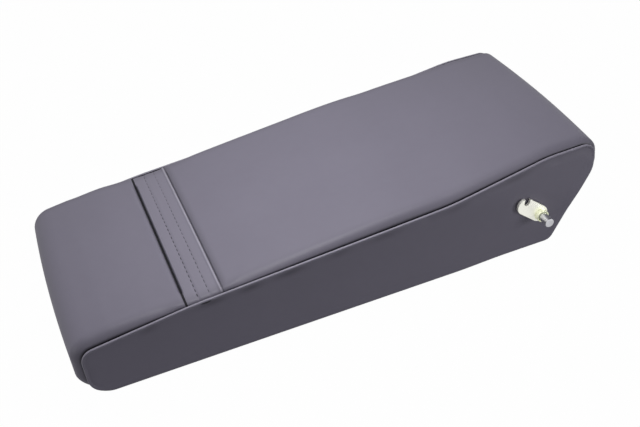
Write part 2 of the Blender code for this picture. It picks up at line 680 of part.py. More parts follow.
def build_lug(name, side):
    """The zinc-plated lug with its drawn collar round the pin and the locating notch in its upper edge."""
    inner, outer = side * LUG_INNER_Y, side * (LUG_INNER_Y + LUG_THICKNESS)
    lug = plate(name, lug_outline(), *sorted((inner, outer)), ZINC_MATERIAL)
    collar_ends = (inner + outer) / 2, outer + side * COLLAR_LENGTH
    collar = [Vector((PIVOT_X, y, PIVOT_HEIGHT)) for y in collar_ends]
    boolean(lug, cylinder_cutter(f"{name}_collar", COLLAR_RADIUS, *collar), "UNION")
    bore_ends = inner - side * CUT_CLEAR, outer + side * (COLLAR_LENGTH + CUT_CLEAR)
    bore = [Vector((PIVOT_X, y, PIVOT_HEIGHT)) for y in bore_ends]
    boolean(lug, cylinder_cutter(f"{name}_bore", BORE_RADIUS, *bore))
    notch_ends = inner - side * CUT_CLEAR, outer + side * CUT_CLEAR
    along = Vector((math.cos(LUG_TILT), math.sin(LUG_TILT)))
    far_end = Vector((PIVOT_X, PIVOT_HEIGHT)) + along * LUG_FAR_CENTRE
    open_way = Vector((math.cos(LUG_NOTCH_ANGLE), math.sin(LUG_NOTCH_ANGLE)))
    across = Vector((-open_way.y, open_way.x))
    middle = far_end + open_way * LUG_NOTCH_OFFSET
    mouth = []
    for step in range(NOTCH_STEPS + 1):
        angle = math.pi * step / NOTCH_STEPS
        mouth.append(middle + (across * math.cos(angle) - open_way * math.sin(angle)) * LUG_NOTCH_RADIUS)
    mouth += [mouth[-1] + open_way * LUG_END_RADIUS, mouth[0] + open_way * LUG_END_RADIUS]
    boolean(lug, as_helper(plate(f"{name}_notch", mouth, *sorted(notch_ends), None, CUTTERS)))
    return lug


def build_circlip(name, side):
    """The open spring ring in the groove of the pin."""
    bm = bmesh.new()
    bore = PIN_RADIUS - GROOVE_DEPTH + FIT_GAP
    section = ring_profile(bore, CIRCLIP_RADIUS, CIRCLIP_INNER_Y, CIRCLIP_OUTER_Y)
    face = bm.faces.new([bm.verts.new((PIVOT_X + radius, side * y, PIVOT_HEIGHT)) for radius, y in section])
    axis_point = (PIVOT_X, 0, PIVOT_HEIGHT)
    sweep = 2 * math.pi - CIRCLIP_OPENING
    bmesh.ops.spin(bm, geom=[face], cent=axis_point, axis=(0, 1, 0), angle=sweep, steps=ROUND_STEPS)
    bmesh.ops.recalc_face_normals(bm, faces=bm.faces)
    return mesh_object(name, bm, PIN_MATERIAL)


def build_hinge_pin(name, side):
    """Everything that turns with one hinge pin, carried by an empty on the hinge axis."""
    groove = PIN_RADIUS - GROOVE_DEPTH
    groove_low, groove_high = CIRCLIP_INNER_Y - FIT_GAP, CIRCLIP_OUTER_Y + FIT_GAP
    pin = [
        (0, PIN_OUTER_Y),
        (PIN_RADIUS - PIN_CHAMFER, PIN_OUTER_Y),
        (PIN_RADIUS, PIN_OUTER_Y - PIN_CHAMFER),
        (PIN_RADIUS, groove_high),
        (groove, groove_high),
        (groove, groove_low),
        (PIN_RADIUS, groove_low),
        (PIN_RADIUS, PIN_INNER_Y),
        (0, PIN_INNER_Y),
    ]
    washer = ring_profile(BORE_RADIUS, WASHER_RADIUS, WASHER_INNER_Y, WASHER_INNER_Y + WASHER_THICKNESS)
    moving = [
        turned(f"hinge_pin_{name}", pin, side, PIN_MATERIAL),
        turned(f"thrust_washer_{name}", washer, side, PIN_MATERIAL),
        build_lug(f"hinge_lug_{name}", side),
        build_circlip(f"circlip_{name}", side),
    ]
    axis = bpy.data.objects.new(f"hinge_axis_{name}", None)
    PARTS.objects.link(axis)
    axis.location = (PIVOT_X, side * HALF_WIDTH, PIVOT_HEIGHT)
    for piece in moving:
        piece.parent = axis
        piece.matrix_parent_inverse = Matrix.Translation(-axis.location)


def ring_places():
    """Places of the hog rings across the armrest."""
    return [(i - (RING_COUNT - 1) / 2) * RING_PITCH for i in range(RING_COUNT)]


def build_tie_down():
    """The wire sewn under the band's front seam, drawn down by hog rings to a second wire in the foam."""
    for name, z in (("tie_wire", TIE_Z), ("anchor_wire", ANCHOR_Z)):
        ends = (TIE_X, -WIRE_HALF_LENGTH, z), (TIE_X, WIRE_HALF_LENGTH, z)
        cylinder(name, WIRE_RADIUS, *ends, WIRE_MATERIAL, steps=TUBE_STEPS)
    for number, y in enumerate(ring_places(), 1):
        path = []
        for middle_z, start in ((TIE_Z, 0), (ANCHOR_Z, math.pi)):
            for step in range(RING_TURN_STEPS + 1):
                angle = start + math.pi * step / RING_TURN_STEPS
                x = TIE_X + RING_TURN_RADIUS * math.cos(angle)
                path.append((x, y, middle_z + RING_TURN_RADIUS * math.sin(angle)))
        ring = bent_wire("ring", path, RING_WIRE_RADIUS, RING_FINENESS, cyclic=True)
        mesh_object(f"hog_ring_{number}", ring, WIRE_MATERIAL)
    low_z = TIE_Z + WIRE_RADIUS + FIT_GAP
    half = LISTING_THICKNESS / 2
    seam_point, seam_outward = between(profile_run(LEATHER / 2), (TIE_X, True), (TIE_X + half, True))[0]
    sections = []
    for y in stations(WIRE_HALF_LENGTH):
        seam = swollen(seam_point, seam_outward, y)
        shift = seam.x - seam_point.x
        corners = ((-half, low_z), (half, low_z), (half + shift, seam.z), (shift - half, seam.z))
        sections.append([Vector((TIE_X + x, y, z)) for x, z in corners])
    listing = mesh_object("listing_strip", loft(sections, closed=True), LISTING_MATERIAL)
    notch_top = TIE_Z + RING_TURN_RADIUS + RING_WIRE_RADIUS + FIT_GAP
    for number, y in enumerate(ring_places(), 1):
        low = TIE_X - CHANNEL_HALF_WIDTH, y - RING_SLOT_HALF_WIDTH, low_z - CUT_CLEAR
        high = TIE_X + CHANNEL_HALF_WIDTH, y + RING_SLOT_HALF_WIDTH, notch_top
        boolean(listing, box_cutter(f"listing_notch_{number}", low, high))


def foam_half(name, keep_top):
    """One of the two foam pads, split level with the frame."""
    run = profile(FOAM_INSET)
    sections = []
    for y in stations(FOAM_END_Y):
        sections.append([swollen(point, outward, y, FOAM_END_Y) for point, outward in run])
    bm = leaned_in(loft(sections, closed=True))
    split = FRAME_HEIGHT + (FIT_GAP / 2 if keep_top else -FIT_GAP / 2)
    geometry = [*bm.verts, *bm.edges, *bm.faces]
    cut = bmesh.ops.bisect_plane(
        bm,
        geom=geometry,
        plane_co=(0, 0, split),
        plane_no=(0, 0, 1),
        clear_inner=keep_top,
        clear_outer=not keep_top,
    )
    rim = [item for item in cut["geom_cut"] if isinstance(item, bmesh.types.BMEdge)]
    bmesh.ops.holes_fill(bm, edges=rim)
    bmesh.ops.recalc_face_normals(bm, faces=bm.faces)
    return mesh_object(name, bm, FOAM_MATERIAL)


def band_recess():
    """The shallow recess in the top pad that lets the stitched band lie lower than its neighbours."""
    run = profile_run(BAND_SINK + FOAM_INSET)
    stretch = between(run, (BAND_START_X - FIT_GAP, True), (BAND_END_X + FIT_GAP, True))
    raised = Vector((0, 0, BAND_SINK + CUT_CLEAR))
    sections = []
    for y in (-HALF_WIDTH, *stations(FOAM_END_Y), HALF_WIDTH):
        floor = [swollen(point, outward, y, FOAM_END_Y) for point, outward in stretch]
        sections.append(floor + [point + raised for point in reversed(floor)])
    return as_helper(mesh_object("band_recess", loft(sections, closed=True), None, CUTTERS))


def build_foam():
    """The two foam pads, hollowed for the frame, the hinge bearings and the tie-down."""
    top = foam_half("foam_top", True)
    bottom = foam_half("foam_bottom", False)
    gap = FIT_GAP
    rod = bent_wire("hoop", hoop_path(), HOOP_RADIUS + gap, HOOP_FINENESS)
    hoop_cut = as_helper(mesh_object("hoop_cut", rod, None, CUTTERS))
    near, far = cross_bar_ends()
    bar_cut = cylinder_cutter("bar_cut", CROSS_BAR_RADIUS + gap, near, far, HOLE_STEPS)
    outline = bracket_outline()
    low_x, high_x = min(p.x for p in outline) - gap, max(p.x for p in outline) + gap
    low_z, high_z = min(p.y for p in outline) - gap, max(p.y for p in outline) + gap
    slots = []
    pockets = []
    for name, side in SIDES.items():
        low_y, high_y = sorted((side * (BRACKET_INNER_Y - gap), side * (BRACKET_OUTER_Y + gap)))
        slots.append(box_cutter(f"bracket_slot_{name}", (low_x, low_y, low_z), (high_x, high_y, high_z)))
        ends = [Vector((PIVOT_X, side * y, PIVOT_HEIGHT)) for y in (PIN_INNER_Y - gap, HALF_WIDTH)]
        pockets.append(cylinder_cutter(f"bearing_pocket_{name}", SLEEVE_RADIUS + gap, *ends))
    for pad in (top, bottom):
        for cutter in (hoop_cut, bar_cut, *slots):
            boolean(pad, cutter)
    side_reach = PLATE_LIP_Y + PLATE_THICKNESS / 2 + gap
    recess_top = PLATE_MID_Z + PLATE_RIB_HEIGHT + PLATE_THICKNESS / 2 + gap
    plate_low = PLATE_START_X - gap, -side_reach, FRAME_HEIGHT - gap
    plate_high = PLATE_END_X + gap, side_reach, recess_top
    wire_end = WIRE_HALF_LENGTH + gap
    channel_low = TIE_X - CHANNEL_HALF_WIDTH, -wire_end, ANCHOR_Z - WIRE_RADIUS - gap
    channel_high = TIE_X + CHANNEL_HALF_WIDTH, wire_end, REAR_HEIGHT
    cutters = [
        *pockets,
        box_cutter("plate_recess", plate_low, plate_high),
        band_recess(),
        box_cutter("tie_channel", channel_low, channel_high),
    ]
    slot_low_z = ANCHOR_Z - RING_TURN_RADIUS - RING_WIRE_RADIUS - gap
    for number, y in enumerate(ring_places(), 1):
        low = TIE_X - CHANNEL_HALF_WIDTH, y - RING_SLOT_HALF_WIDTH, slot_low_z
        high = TIE_X + CHANNEL_HALF_WIDTH, y + RING_SLOT_HALF_WIDTH, TIE_Z
        cutters.append(box_cutter(f"ring_slot_{number}", low, high))
    for cutter in cutters:
        boolean(top, cutter)


build_cover()
build_frame()
for side_name, side_sign in SIDES.items():
    build_hinge_pin(side_name, side_sign)
build_tie_down()
build_foam()
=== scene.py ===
"""The looks of a car's rear seat armrest: grey leather over foam, with a steel hinge pin at each side.

-X is the free front end, +X the hinged rear end, -Y the side that faces the camera, and +Z is up.
"""

import math

import bmesh
import bpy
from mathutils import Matrix, Vector


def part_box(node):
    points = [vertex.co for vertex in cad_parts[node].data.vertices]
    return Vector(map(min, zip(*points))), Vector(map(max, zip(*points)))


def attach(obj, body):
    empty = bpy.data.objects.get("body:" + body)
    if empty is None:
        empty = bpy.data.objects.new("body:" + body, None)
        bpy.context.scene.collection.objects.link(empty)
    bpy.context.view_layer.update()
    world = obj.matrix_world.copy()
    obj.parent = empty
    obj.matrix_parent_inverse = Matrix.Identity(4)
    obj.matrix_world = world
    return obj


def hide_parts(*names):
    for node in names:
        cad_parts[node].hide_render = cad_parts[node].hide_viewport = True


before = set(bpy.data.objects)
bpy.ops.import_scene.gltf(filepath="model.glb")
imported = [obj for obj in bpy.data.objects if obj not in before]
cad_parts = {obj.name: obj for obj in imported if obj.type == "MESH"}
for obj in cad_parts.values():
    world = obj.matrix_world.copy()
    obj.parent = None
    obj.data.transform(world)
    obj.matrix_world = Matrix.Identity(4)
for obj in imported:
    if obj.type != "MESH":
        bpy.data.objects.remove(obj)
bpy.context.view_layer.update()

MM = 0.001

# Camera: it stands off the near front corner, looks down on the armrest and is held slightly turned.
CAMERA_PLACE = Vector((-204.75, -697.6, 586.6)) * MM
CAMERA_AIM = Vector((5.45, -14.3, 39.9)) * MM
CAMERA_ROLL = math.radians(-7.1)
CAMERA_LENS = 56.85

camera_data = bpy.data.cameras.new("camera")
camera_data.lens = CAMERA_LENS
camera = bpy.data.objects.new("camera", camera_data)
bpy.context.scene.collection.objects.link(camera)
camera_turn = (CAMERA_AIM - CAMERA_PLACE).to_track_quat("-Z", "Y").to_matrix().to_4x4()
camera.matrix_world = Matrix.Translation(CAMERA_PLACE) @ camera_turn @ Matrix.Rotation(CAMERA_ROLL, 4, "Z")
bpy.context.scene.camera = camera
bpy.context.scene.view_settings.view_transform = "Standard"

# Floor and surroundings: a pale studio table that runs on into a white room. The camera and the gloss
# see it white, and it keeps the armrest's soft shadow.
FLOOR_HALF_WIDTH = 4.0
FLOOR_DROP = 0.2 * MM
FLOOR_COLOUR = (0.22, 0.22, 0.23, 1)
FLOOR_WHITENESS = 0.99
GLOSS_WHITENESS = 0.8
WHITE = (1, 1, 1, 1)
ROOM_COLOUR = (0.94, 0.96, 1.0, 1)
ROOM_LIGHT = 0.23


class Number:
    """A value that changes over a surface. Writing a sum or a product of it adds the Math node."""

    def __init__(self, tree, socket):
        self.tree = tree
        self.socket = socket

    def joined(self, operation, other):
        """The Math node of this value and another value or plain number."""
        node = self.tree.nodes.new("ShaderNodeMath")
        node.operation = operation
        self.tree.links.new(self.socket, node.inputs[0])
        if isinstance(other, Number):
            self.tree.links.new(other.socket, node.inputs[1])
        else:
            node.inputs[1].default_value = other
        return Number(self.tree, node.outputs[0])

    def __add__(self, other):
        return self.joined("ADD", other)

    def __mul__(self, other):
        return self.joined("MULTIPLY", other)

    __radd__ = __add__
    __rmul__ = __mul__


class Finish:
    """The nodes of a material or of the room, and the one way in which this file adds a node to them."""

    def __init__(self, owner):
        owner.use_nodes = True
        self.owner = owner
        self.tree = owner.node_tree

    def node(self, kind, settings=None, values=None, output=0):
        """Adds a node, sets it up, fills its sockets and returns one of its outputs."""
        node = self.tree.nodes.new(f"ShaderNode{kind}")
        for name, value in (settings or {}).items():
            setattr(node, name, value)
        self.fill(node, values or {})
        return Number(self.tree, node.outputs[output])

    def fill(self, node, values):
        """Sets a node's sockets, each by its name or number, to a value or a link."""
        for name, value in values.items():
            if isinstance(value, Number):
                self.tree.links.new(value.socket, node.inputs[name])
            else:
                node.inputs[name].default_value = value


def new_object(name, bm, finish):
    """An object of this shape and finish, put into the scene. The bmesh is used up."""
    mesh = bpy.data.meshes.new(name)
    bm.to_mesh(mesh)
    bm.free()
    mesh.materials.append(finish.owner)
    made = bpy.data.objects.new(name, mesh)
    bpy.context.scene.collection.objects.link(made)
    return made


table = Finish(bpy.data.materials.new("pale_table"))
table_shader = table.tree.nodes["Principled BSDF"]
table.fill(table_shader, {"Base Color": FLOOR_COLOUR, "Roughness": 0.9, "Specular IOR Level": 0})
camera_ray = table.node("LightPath", output="Is Camera Ray")
glossy_ray = table.node("LightPath", output="Is Glossy Ray")
seen_white = (camera_ray + glossy_ray * GLOSS_WHITENESS) * FLOOR_WHITENESS
table_plain = Number(table.tree, table_shader.outputs[0])
table_white = table.node("Emission", values={"Color": WHITE, "Strength": 1.0})
table_mix = table.node("MixShader", values={0: seen_white, 1: table_plain, 2: table_white})
table.fill(table.tree.nodes["Material Output"], {"Surface": table_mix})

bm = bmesh.new()
bmesh.ops.create_grid(bm, x_segments=1, y_segments=1, size=FLOOR_HALF_WIDTH)
bmesh.ops.translate(bm, verts=bm.verts, vec=(0, 0, -FLOOR_DROP))
floor = new_object("studio_floor", bm, table)

bpy.context.scene.world = bpy.data.worlds.new("white_room")
room = Finish(bpy.context.scene.world)
room_camera_ray = room.node("LightPath", output="Is Camera Ray")
room_glossy_ray = room.node("LightPath", output="Is Glossy Ray")
room_plain = room.node("Background", values={"Color": ROOM_COLOUR, "Strength": ROOM_LIGHT})
room_white = room.node("Background", values={"Color": WHITE, "Strength": 1.0})
room_seen = {0: room_camera_ray + room_glossy_ray, 1: room_plain, 2: room_white}
room.fill(room.tree.nodes["World Output"], {"Surface": room.node("MixShader", values=room_seen)})

# Lamps: a soft box close above the middle of the top, a larger one in front of the nose, and one low at
# the right that lights the near side, the lug and the pin. Each has its place and width in metres and its
# power in watts.
LAMPS = {
    "soft_box_above": (Vector((-0.03, -0.035, 0.50)), 0.2, 2.2),
    "soft_box_front": (Vector((-1.3, -0.25, 0.18)), 0.5, 3.6),
    "soft_box_right": (Vector((0.75, -0.80, 0.14)), 0.4, 3.5),
}
for lamp_name, (lamp_place, lamp_size, lamp_power) in LAMPS.items():
    lamp_data = bpy.data.lights.new(lamp_name, "AREA")
    lamp_data.size = lamp_size
    lamp_data.energy = lamp_power
    lamp = bpy.data.objects.new(lamp_name, lamp_data)
    lamp_turn = (-lamp_place).to_track_quat("-Z", "Y").to_matrix().to_4x4()
    lamp.matrix_world = Matrix.Translation(lamp_place) @ lamp_turn
    bpy.context.scene.collection.objects.link(lamp)

# Front cover: the leather panel over the nose. It is cut to the side outline, sewn to the two side
# panels and to the stitched band, and drawn tight over the foam, which swells it between its seams.
LENGTH = 475 * MM
NOSE_HEIGHT = 46.7 * MM
CREST_HEIGHT = 59 * MM
CREST_FROM_FRONT = 103.2 * MM
KNEE_HEIGHT = 73 * MM
KNEE_FROM_REAR = 144 * MM
REAR_HEIGHT = 87 * MM
SHOULDER_FROM_REAR = 50.3 * MM
REAR_EDGE_X = LENGTH / 2 - 2.9 * MM
REAR_BELLY = Vector((LENGTH / 2 - 4.7 * MM, 62 * MM))
REAR_HOLLOW = Vector((LENGTH / 2 - 31.8 * MM, 26 * MM))
HEEL_X = LENGTH / 2 - 48.3 * MM
CHIN_RADIUS = 20 * MM
NOSE_RADIUS = 12 * MM
CREST_RADIUS = 300 * MM
KNEE_RADIUS = 200 * MM
SHOULDER_RADIUS = 120 * MM
REAR_EDGE_RADIUS = 12 * MM
REAR_BELLY_RADIUS = 22 * MM
REAR_HOLLOW_RADIUS = 60 * MM
HEEL_RADIUS = 10 * MM
ARC_STEP = math.radians(3)
CROWN = 3 * MM
NOSE_LIFT = 7 * MM
REAR_LIFT = 3 * MM
FRONT_X = -LENGTH / 2 + NOSE_LIFT + CROWN


class Outline:
    """The cushion's side outline as a path.

    On the near side it runs clockwise, from the middle of the underside.
    """

    def __init__(self, corners):
        points = [Vector((x, z)) for x, z, _ in corners]
        count = len(points)
        edges = [(points[(i + 1) % count] - points[i]).normalized() for i in range(count)]
        outward = [Vector((-edge.y, edge.x)) for edge in edges]
        self.stops = [(Vector((0, 0)), outward[-1].copy())]
        for i in range(count):
            before, after, radius = edges[i - 1], edges[i], corners[i][2]
            turn = math.atan2(before.x * after.y - before.y * after.x, before.dot(after))
            side = 1 if turn < 0 else -1
            middle = (outward[i - 1] + outward[i]) / (1 + outward[i - 1].dot(outward[i]))
            centre = points[i] - middle * radius * side
            steps = max(2, math.ceil(abs(turn) / ARC_STEP))
            for step in range(steps + 1):
                direction = outward[i - 1].copy()
                direction.rotate(Matrix.Rotation(turn * step / steps, 2))
                self.stops.append((centre + direction * radius * side, direction))
        self.stops.append(self.stops[0])
        self.reached = [0.0]
        for (near, _), (far, _) in zip(self.stops, self.stops[1:]):
            self.reached.append(self.reached[-1] + (far - near).length)
        self.length = self.reached[-1]

    def at(self, distance):
        """The place and the outward direction at a distance along the path."""
        distance = min(max(distance, 0), self.length)
        low, high = 0, len(self.reached) - 1
        while high - low > 1:
            middle = (low + high) // 2
            if self.reached[middle] <= distance:
                low = middle
            else:
                high = middle
        share = (distance - self.reached[low]) / max(self.reached[high] - self.reached[low], 1e-9)
        (near, near_out), (far, far_out) = self.stops[low], self.stops[high]
        return near.lerp(far, share), near_out.lerp(far_out, share).normalized()

    def where(self, x, on_top):
        """The distance along the path at which its top or its underside passes x."""
        spans = range(len(self.stops) - 1)
        for i in spans if x < 0 or on_top else reversed(spans):
            (near, near_out), (far, far_out) = self.stops[i], self.stops[i + 1]
            if (near_out.y + far_out.y > 0) == on_top and min(near.x, far.x) <= x <= max(near.x, far.x):
                share = (x - near.x) / (far.x - near.x) if far.x != near.x else 0
                return self.reached[i] + share * (self.reached[i + 1] - self.reached[i])
        raise ValueError("the side outline does not reach this place")


outline = Outline([
    (FRONT_X, 0, CHIN_RADIUS),
    (FRONT_X, NOSE_HEIGHT, NOSE_RADIUS),
    (-LENGTH / 2 + CREST_FROM_FRONT, CREST_HEIGHT, CREST_RADIUS),
    (LENGTH / 2 - KNEE_FROM_REAR, KNEE_HEIGHT, KNEE_RADIUS),
    (LENGTH / 2 - SHOULDER_FROM_REAR, REAR_HEIGHT, SHOULDER_RADIUS),
    (REAR_EDGE_X, REAR_HEIGHT, REAR_EDGE_RADIUS),
    (REAR_BELLY.x, REAR_BELLY.y, REAR_BELLY_RADIUS),
    (REAR_HOLLOW.x, REAR_HOLLOW.y, REAR_HOLLOW_RADIUS),
    (HEEL_X, 0, HEEL_RADIUS),
])

HALF_WIDTH = 100 * MM
SIDE_LEAN = 6 * MM
REAR_LEAN = math.radians(31.5)
FOLD_START = Vector((LENGTH / 2 - 142 * MM, KNEE_HEIGHT))
FOLD_END_HEIGHT = 45 * MM
FOLD_SOFTNESS = 0.15
SIDE_BULGE = 2 * MM
BULGE_TOP_Z = 45 * MM
BULGE_FADES_X, BULGE_ENDS_X = 95 * MM, 145 * MM
BULGE_LOST = 0.7
lean_top_x = HEEL_X + REAR_HEIGHT * math.tan(REAR_LEAN)
fold_end_x = HEEL_X + (lean_top_x - HEEL_X) * (FOLD_END_HEIGHT / REAR_HEIGHT)
fold_along = (Vector((fold_end_x, FOLD_END_HEIGHT)) - FOLD_START).normalized()
fold_across = Vector((-fold_along.y, fold_along.x))
fold_full = (Vector((lean_top_x, REAR_HEIGHT)) - FOLD_START).dot(fold_across)


def eased(value, low, high):
    """0 before low, 1 past high, and a smooth rise between them."""
    share = min(max((value - low) / (high - low), 0), 1)
    return share * share * (3 - 2 * share)


def side_reach(place):
    """How far the side stands from the middle.

    It leans in past a soft fold at the rear top, and bulges low down, but less where the lug swings past.
    """
    past = (place - FOLD_START).dot(fold_across) / fold_full
    lean = 0.5 * (past + math.hypot(past, FOLD_SOFTNESS))
    bulge = 1 - eased(place.y, 0, BULGE_TOP_Z)
    bulge *= 1 - BULGE_LOST * eased(place.x, BULGE_FADES_X, BULGE_ENDS_X)
    return HALF_WIDTH - SIDE_LEAN * lean + SIDE_BULGE * bulge


BEAD_RADIUS = 1.25 * MM
BEAD_GROOVE = 0.9 * MM
ROLL_RADIUS = 3.5 * MM
TURN_LENGTH = 16 * MM
BEAD_PAST_CHIN = 8 * MM
BEAD_PAST_REAR_EDGE = 10 * MM
bead_start = outline.where(FRONT_X + CHIN_RADIUS, False) + BEAD_PAST_CHIN
bead_end = outline.where(REAR_EDGE_X - REAR_EDGE_RADIUS, True) + BEAD_PAST_REAR_EDGE


def bead_share(distance):
    """1 where the side seam is a standing bead, 0 where the side only rolls under."""
    start = eased(distance, bead_start, bead_start + TURN_LENGTH)
    return start * (1 - eased(distance, bead_end, bead_end + TURN_LENGTH))


def side_radius(distance):
    """The radius of the side panel's turned edge at a distance along the outline."""
    return ROLL_RADIUS + (BEAD_RADIUS - ROLL_RADIUS) * bead_share(distance)


def seam_reach(distance):
    """How far from the middle the cover goes down into its side seam."""
    bead = bead_share(distance)
    return side_reach(outline.at(distance)[0]) - side_radius(distance) * (1 + bead) - BEAD_GROOVE * bead


# The lifts and rises say how far the stuffing lifts the cover at each share of the length.
TOP_LIFTS = (
    (0.08, 5.8 * MM),
    (0.14, 3.8 * MM),
    (0.20, 1.2 * MM),
    (0.27, 1.0 * MM),
    (0.35, 2.6 * MM),
    (0.52, 4.9 * MM),
    (0.61, 5.6 * MM),
    (0.70, 4.6 * MM),
    (0.86, 2.6 * MM),
)
FAR_RISE = (
    (0.10, 2.0 * MM),
    (0.153, 3.0 * MM),
    (0.216, 0.8 * MM),
    (0.279, 0.5 * MM),
    (0.338, 2.0 * MM),
    (0.466, 2.6 * MM),
    (0.53, 2.9 * MM),
    (0.597, 3.4 * MM),
    (0.664, 3.7 * MM),
    (0.73, 2.8 * MM),
    (0.80, 1.0 * MM),
    (0.868, -0.9 * MM),
    (0.94, -1.2 * MM),
)
FAR_RISE_STARTS_Y, FAR_RISE_ENDS_Y = -40 * MM, 88 * MM
LIFT_STARTS_FACING, LIFT_FULL_FACING = -1, 0.1
BAND_START_X = -LENGTH / 2 + 100.3 * MM
BAND_WIDTH = 30 * MM
SEAM_DEPTH = 3 * MM
PLAIN_SEAM_SHARE = 0.2
NEAR_SEAM_ROLL = 8 * MM
FAR_SEAM_ROLL = 5 * MM
BAND_SIDE_ROLL = 3.2 * MM
BAND_ROLL_ENDS, FULL_ROLL_STARTS = 6 * MM, 20 * MM
REAR_SEAM_ROLL = 3.5 * MM
REAR_ROLL_STARTS, REAR_ROLL_FULL = 0.1, 0.7
# Painted shade: the cover is darkened where it turns down into the side seam, and a little along the top
# beside it.
SEAM_SHADE_STARTS, SEAM_SHADE_FULL = 0.45, 0.8
SEAM_SHADE = 0.22
SEAM_SHADE_REACH = 13 * MM
ACROSS_STEPS = 90


def along_table(value, table):
    """The amount at a place on the smooth curve through a few (place, amount) pairs."""
    value = min(max(value, table[0][0]), table[-1][0])
    i = max(k for k in range(len(table) - 1) if table[k][0] <= value)
    (low, start), (high, end) = table[i], table[i + 1]
    before, after = table[max(i - 1, 0)], table[min(i + 2, len(table) - 1)]
    span = high - low
    leaving = (end - before[1]) / (high - before[0]) * span
    arriving = (after[1] - start) / (after[0] - low) * span
    t = (value - low) / span
    curve = start + t * leaving + t * t * (3 * (end - start) - 2 * leaving - arriving)
    return curve + t ** 3 * (2 * (start - end) + leaving + arriving)


def turned_in(from_edge, reach, depth):
    """How far a sewn edge turns down into its seam, as a quarter round."""
    share = 1 - min(max(from_edge, 0) / reach, 1)
    return depth * (1 - math.sqrt(1 - share * share))


def seam_roll(distance, y):
    """The width over which the cover rolls down to its side seam.

    It is slack along the near top, and tight beside the band and on the rear face.
    """
    place, outward = outline.at(distance)
    width = NEAR_SEAM_ROLL if y < 0 else FAR_SEAM_ROLL
    from_band = abs(place.x - BAND_START_X - BAND_WIDTH / 2) - BAND_WIDTH / 2
    width = BAND_SIDE_ROLL + (width - BAND_SIDE_ROLL) * eased(from_band, BAND_ROLL_ENDS, FULL_ROLL_STARTS)
    return width + (REAR_SEAM_ROLL - width) * eased(outward.x, REAR_ROLL_STARTS, REAR_ROLL_FULL)


def stuffed(distance, y):
    """How far the foam pushes the cover out, down to where the cover turns into the side seam."""
    place, outward = outline.at(distance)
    along = place.x / LENGTH + 0.5
    lift = along_table(along, TOP_LIFTS)
    lift += along_table(along, FAR_RISE) * eased(y, FAR_RISE_STARTS_Y, FAR_RISE_ENDS_Y)
    end_lift = NOSE_LIFT if outward.x < 0 else REAR_LIFT
    lift += (end_lift - lift) * outward.x ** 2
    fade = eased(outward.y, LIFT_STARTS_FACING, LIFT_FULL_FACING)
    swell = lift * fade
    crown = CROWN * (1 - (y / HALF_WIDTH) ** 2) * fade
    depth = swell + SEAM_DEPTH * (PLAIN_SEAM_SHARE + (1 - PLAIN_SEAM_SHARE) * bead_share(distance))
    return swell + crown - turned_in(seam_reach(distance) - abs(y), seam_roll(distance, y), depth)


def side_seam_painted_shade(distance, y):
    """How much shade is painted on the cover where it goes down into the side seam, and along the top
    beside it.
    """
    from_edge = seam_reach(distance) - abs(y)
    gone_down = turned_in(from_edge, seam_roll(distance, y), 1.0)
    shaded = SEAM_SHADE * (1 - eased(from_edge, 0, SEAM_SHADE_REACH))
    return max(eased(gone_down, SEAM_SHADE_STARTS, SEAM_SHADE_FULL), shaded) * bead_share(distance)


def cover_panel(name, start, end, steps, relief):
    """A panel of the cover across the armrest, from one distance along the outline to another.

    The relief function gives, from the distance along the outline and from y, how far the panel's own
    face stands up or down there, how much shade is painted on it, and how much paler it is painted.
    """
    bm = bmesh.new()
    painted_shade = bm.verts.layers.float.new("painted_shade")
    paler_and_highlight_layer = bm.verts.layers.float.new("paler_and_highlight")
    bmesh.ops.create_grid(bm, x_segments=steps, y_segments=ACROSS_STEPS, size=0.5)
    for vert in bm.verts:
        run, cross = vert.co.x * math.pi, vert.co.y * math.pi
        distance = start + (end - start) * (0.5 + 0.5 * math.sin(run))
        y = min(seam_reach(distance), HALF_WIDTH) * math.sin(cross)
        place, outward = outline.at(distance)
        height, painted_shading, paler_and_highlight = relief(distance, y)
        moved = place + outward * (stuffed(distance, y) + height)
        vert.co = (moved.x, y, moved.y)
        vert[painted_shade] = max(painted_shading, side_seam_painted_shade(distance, y))
        vert[paler_and_highlight_layer] = paler_and_highlight
    return leather_piece(name, bm)


class Surface(Finish):
    """A piece's material, with the patterns that several of them share, which move with the piece."""

    def __init__(self, name, constants):
        super().__init__(bpy.data.materials.new(name))
        self.shader = self.tree.nodes["Principled BSDF"]
        self.fill(self.shader, constants)
        self.place = self.node("TexCoord", output="Object")

    def noise(self, scale, detail):
        """A cloudy pattern."""
        return self.node("TexNoise", values={"Vector": self.place, "Scale": scale, "Detail": detail})

    def bump(self, height, strength, distance):
        """A fine relief."""
        values = {"Height": height, "Strength": strength, "Distance": distance}
        return self.node("Bump", values=values)

    def blend(self, share, first, second):
        """A colour between two others. The numbers are the sockets for the share and the two colours."""
        return self.node("Mix", {"data_type": "RGBA"}, {0: share, 6: first, 7: second}, output=2)


LEATHER_THICKNESS = 1.5 * MM
GRAIN_PITCH = 0.9 * MM
LEATHER_DARK = (0.128, 0.119, 0.155, 1)
LEATHER_LIGHT = (0.156, 0.146, 0.186, 1)
LEATHER_PAINTED_SHADE = (0.012, 0.011, 0.015, 1)
LEATHER_PALE_AND_HIGHLIGHT = (0.36, 0.34, 0.40, 1)
leather = Surface("grey_leather", {"Specular IOR Level": 0.27})
mottle = leather.noise(16, 4)
cloudy = leather.noise(120, 5)
pores = leather.noise(2200, 2)
pebble = leather.node(
    "TexVoronoi",
    {"feature": "SMOOTH_F1"},
    {"Vector": leather.place, "Scale": 1 / GRAIN_PITCH, "Smoothness": 0.6},
)
# Painted shade: this attribute blends the leather towards near black where shade falls, in the seams'
# grooves, under the band's lip, along the top beside the seams and in the hollows under the side bead.
painted_shade_mask = leather.node("Attribute", {"attribute_name": "painted_shade"}, output="Fac")
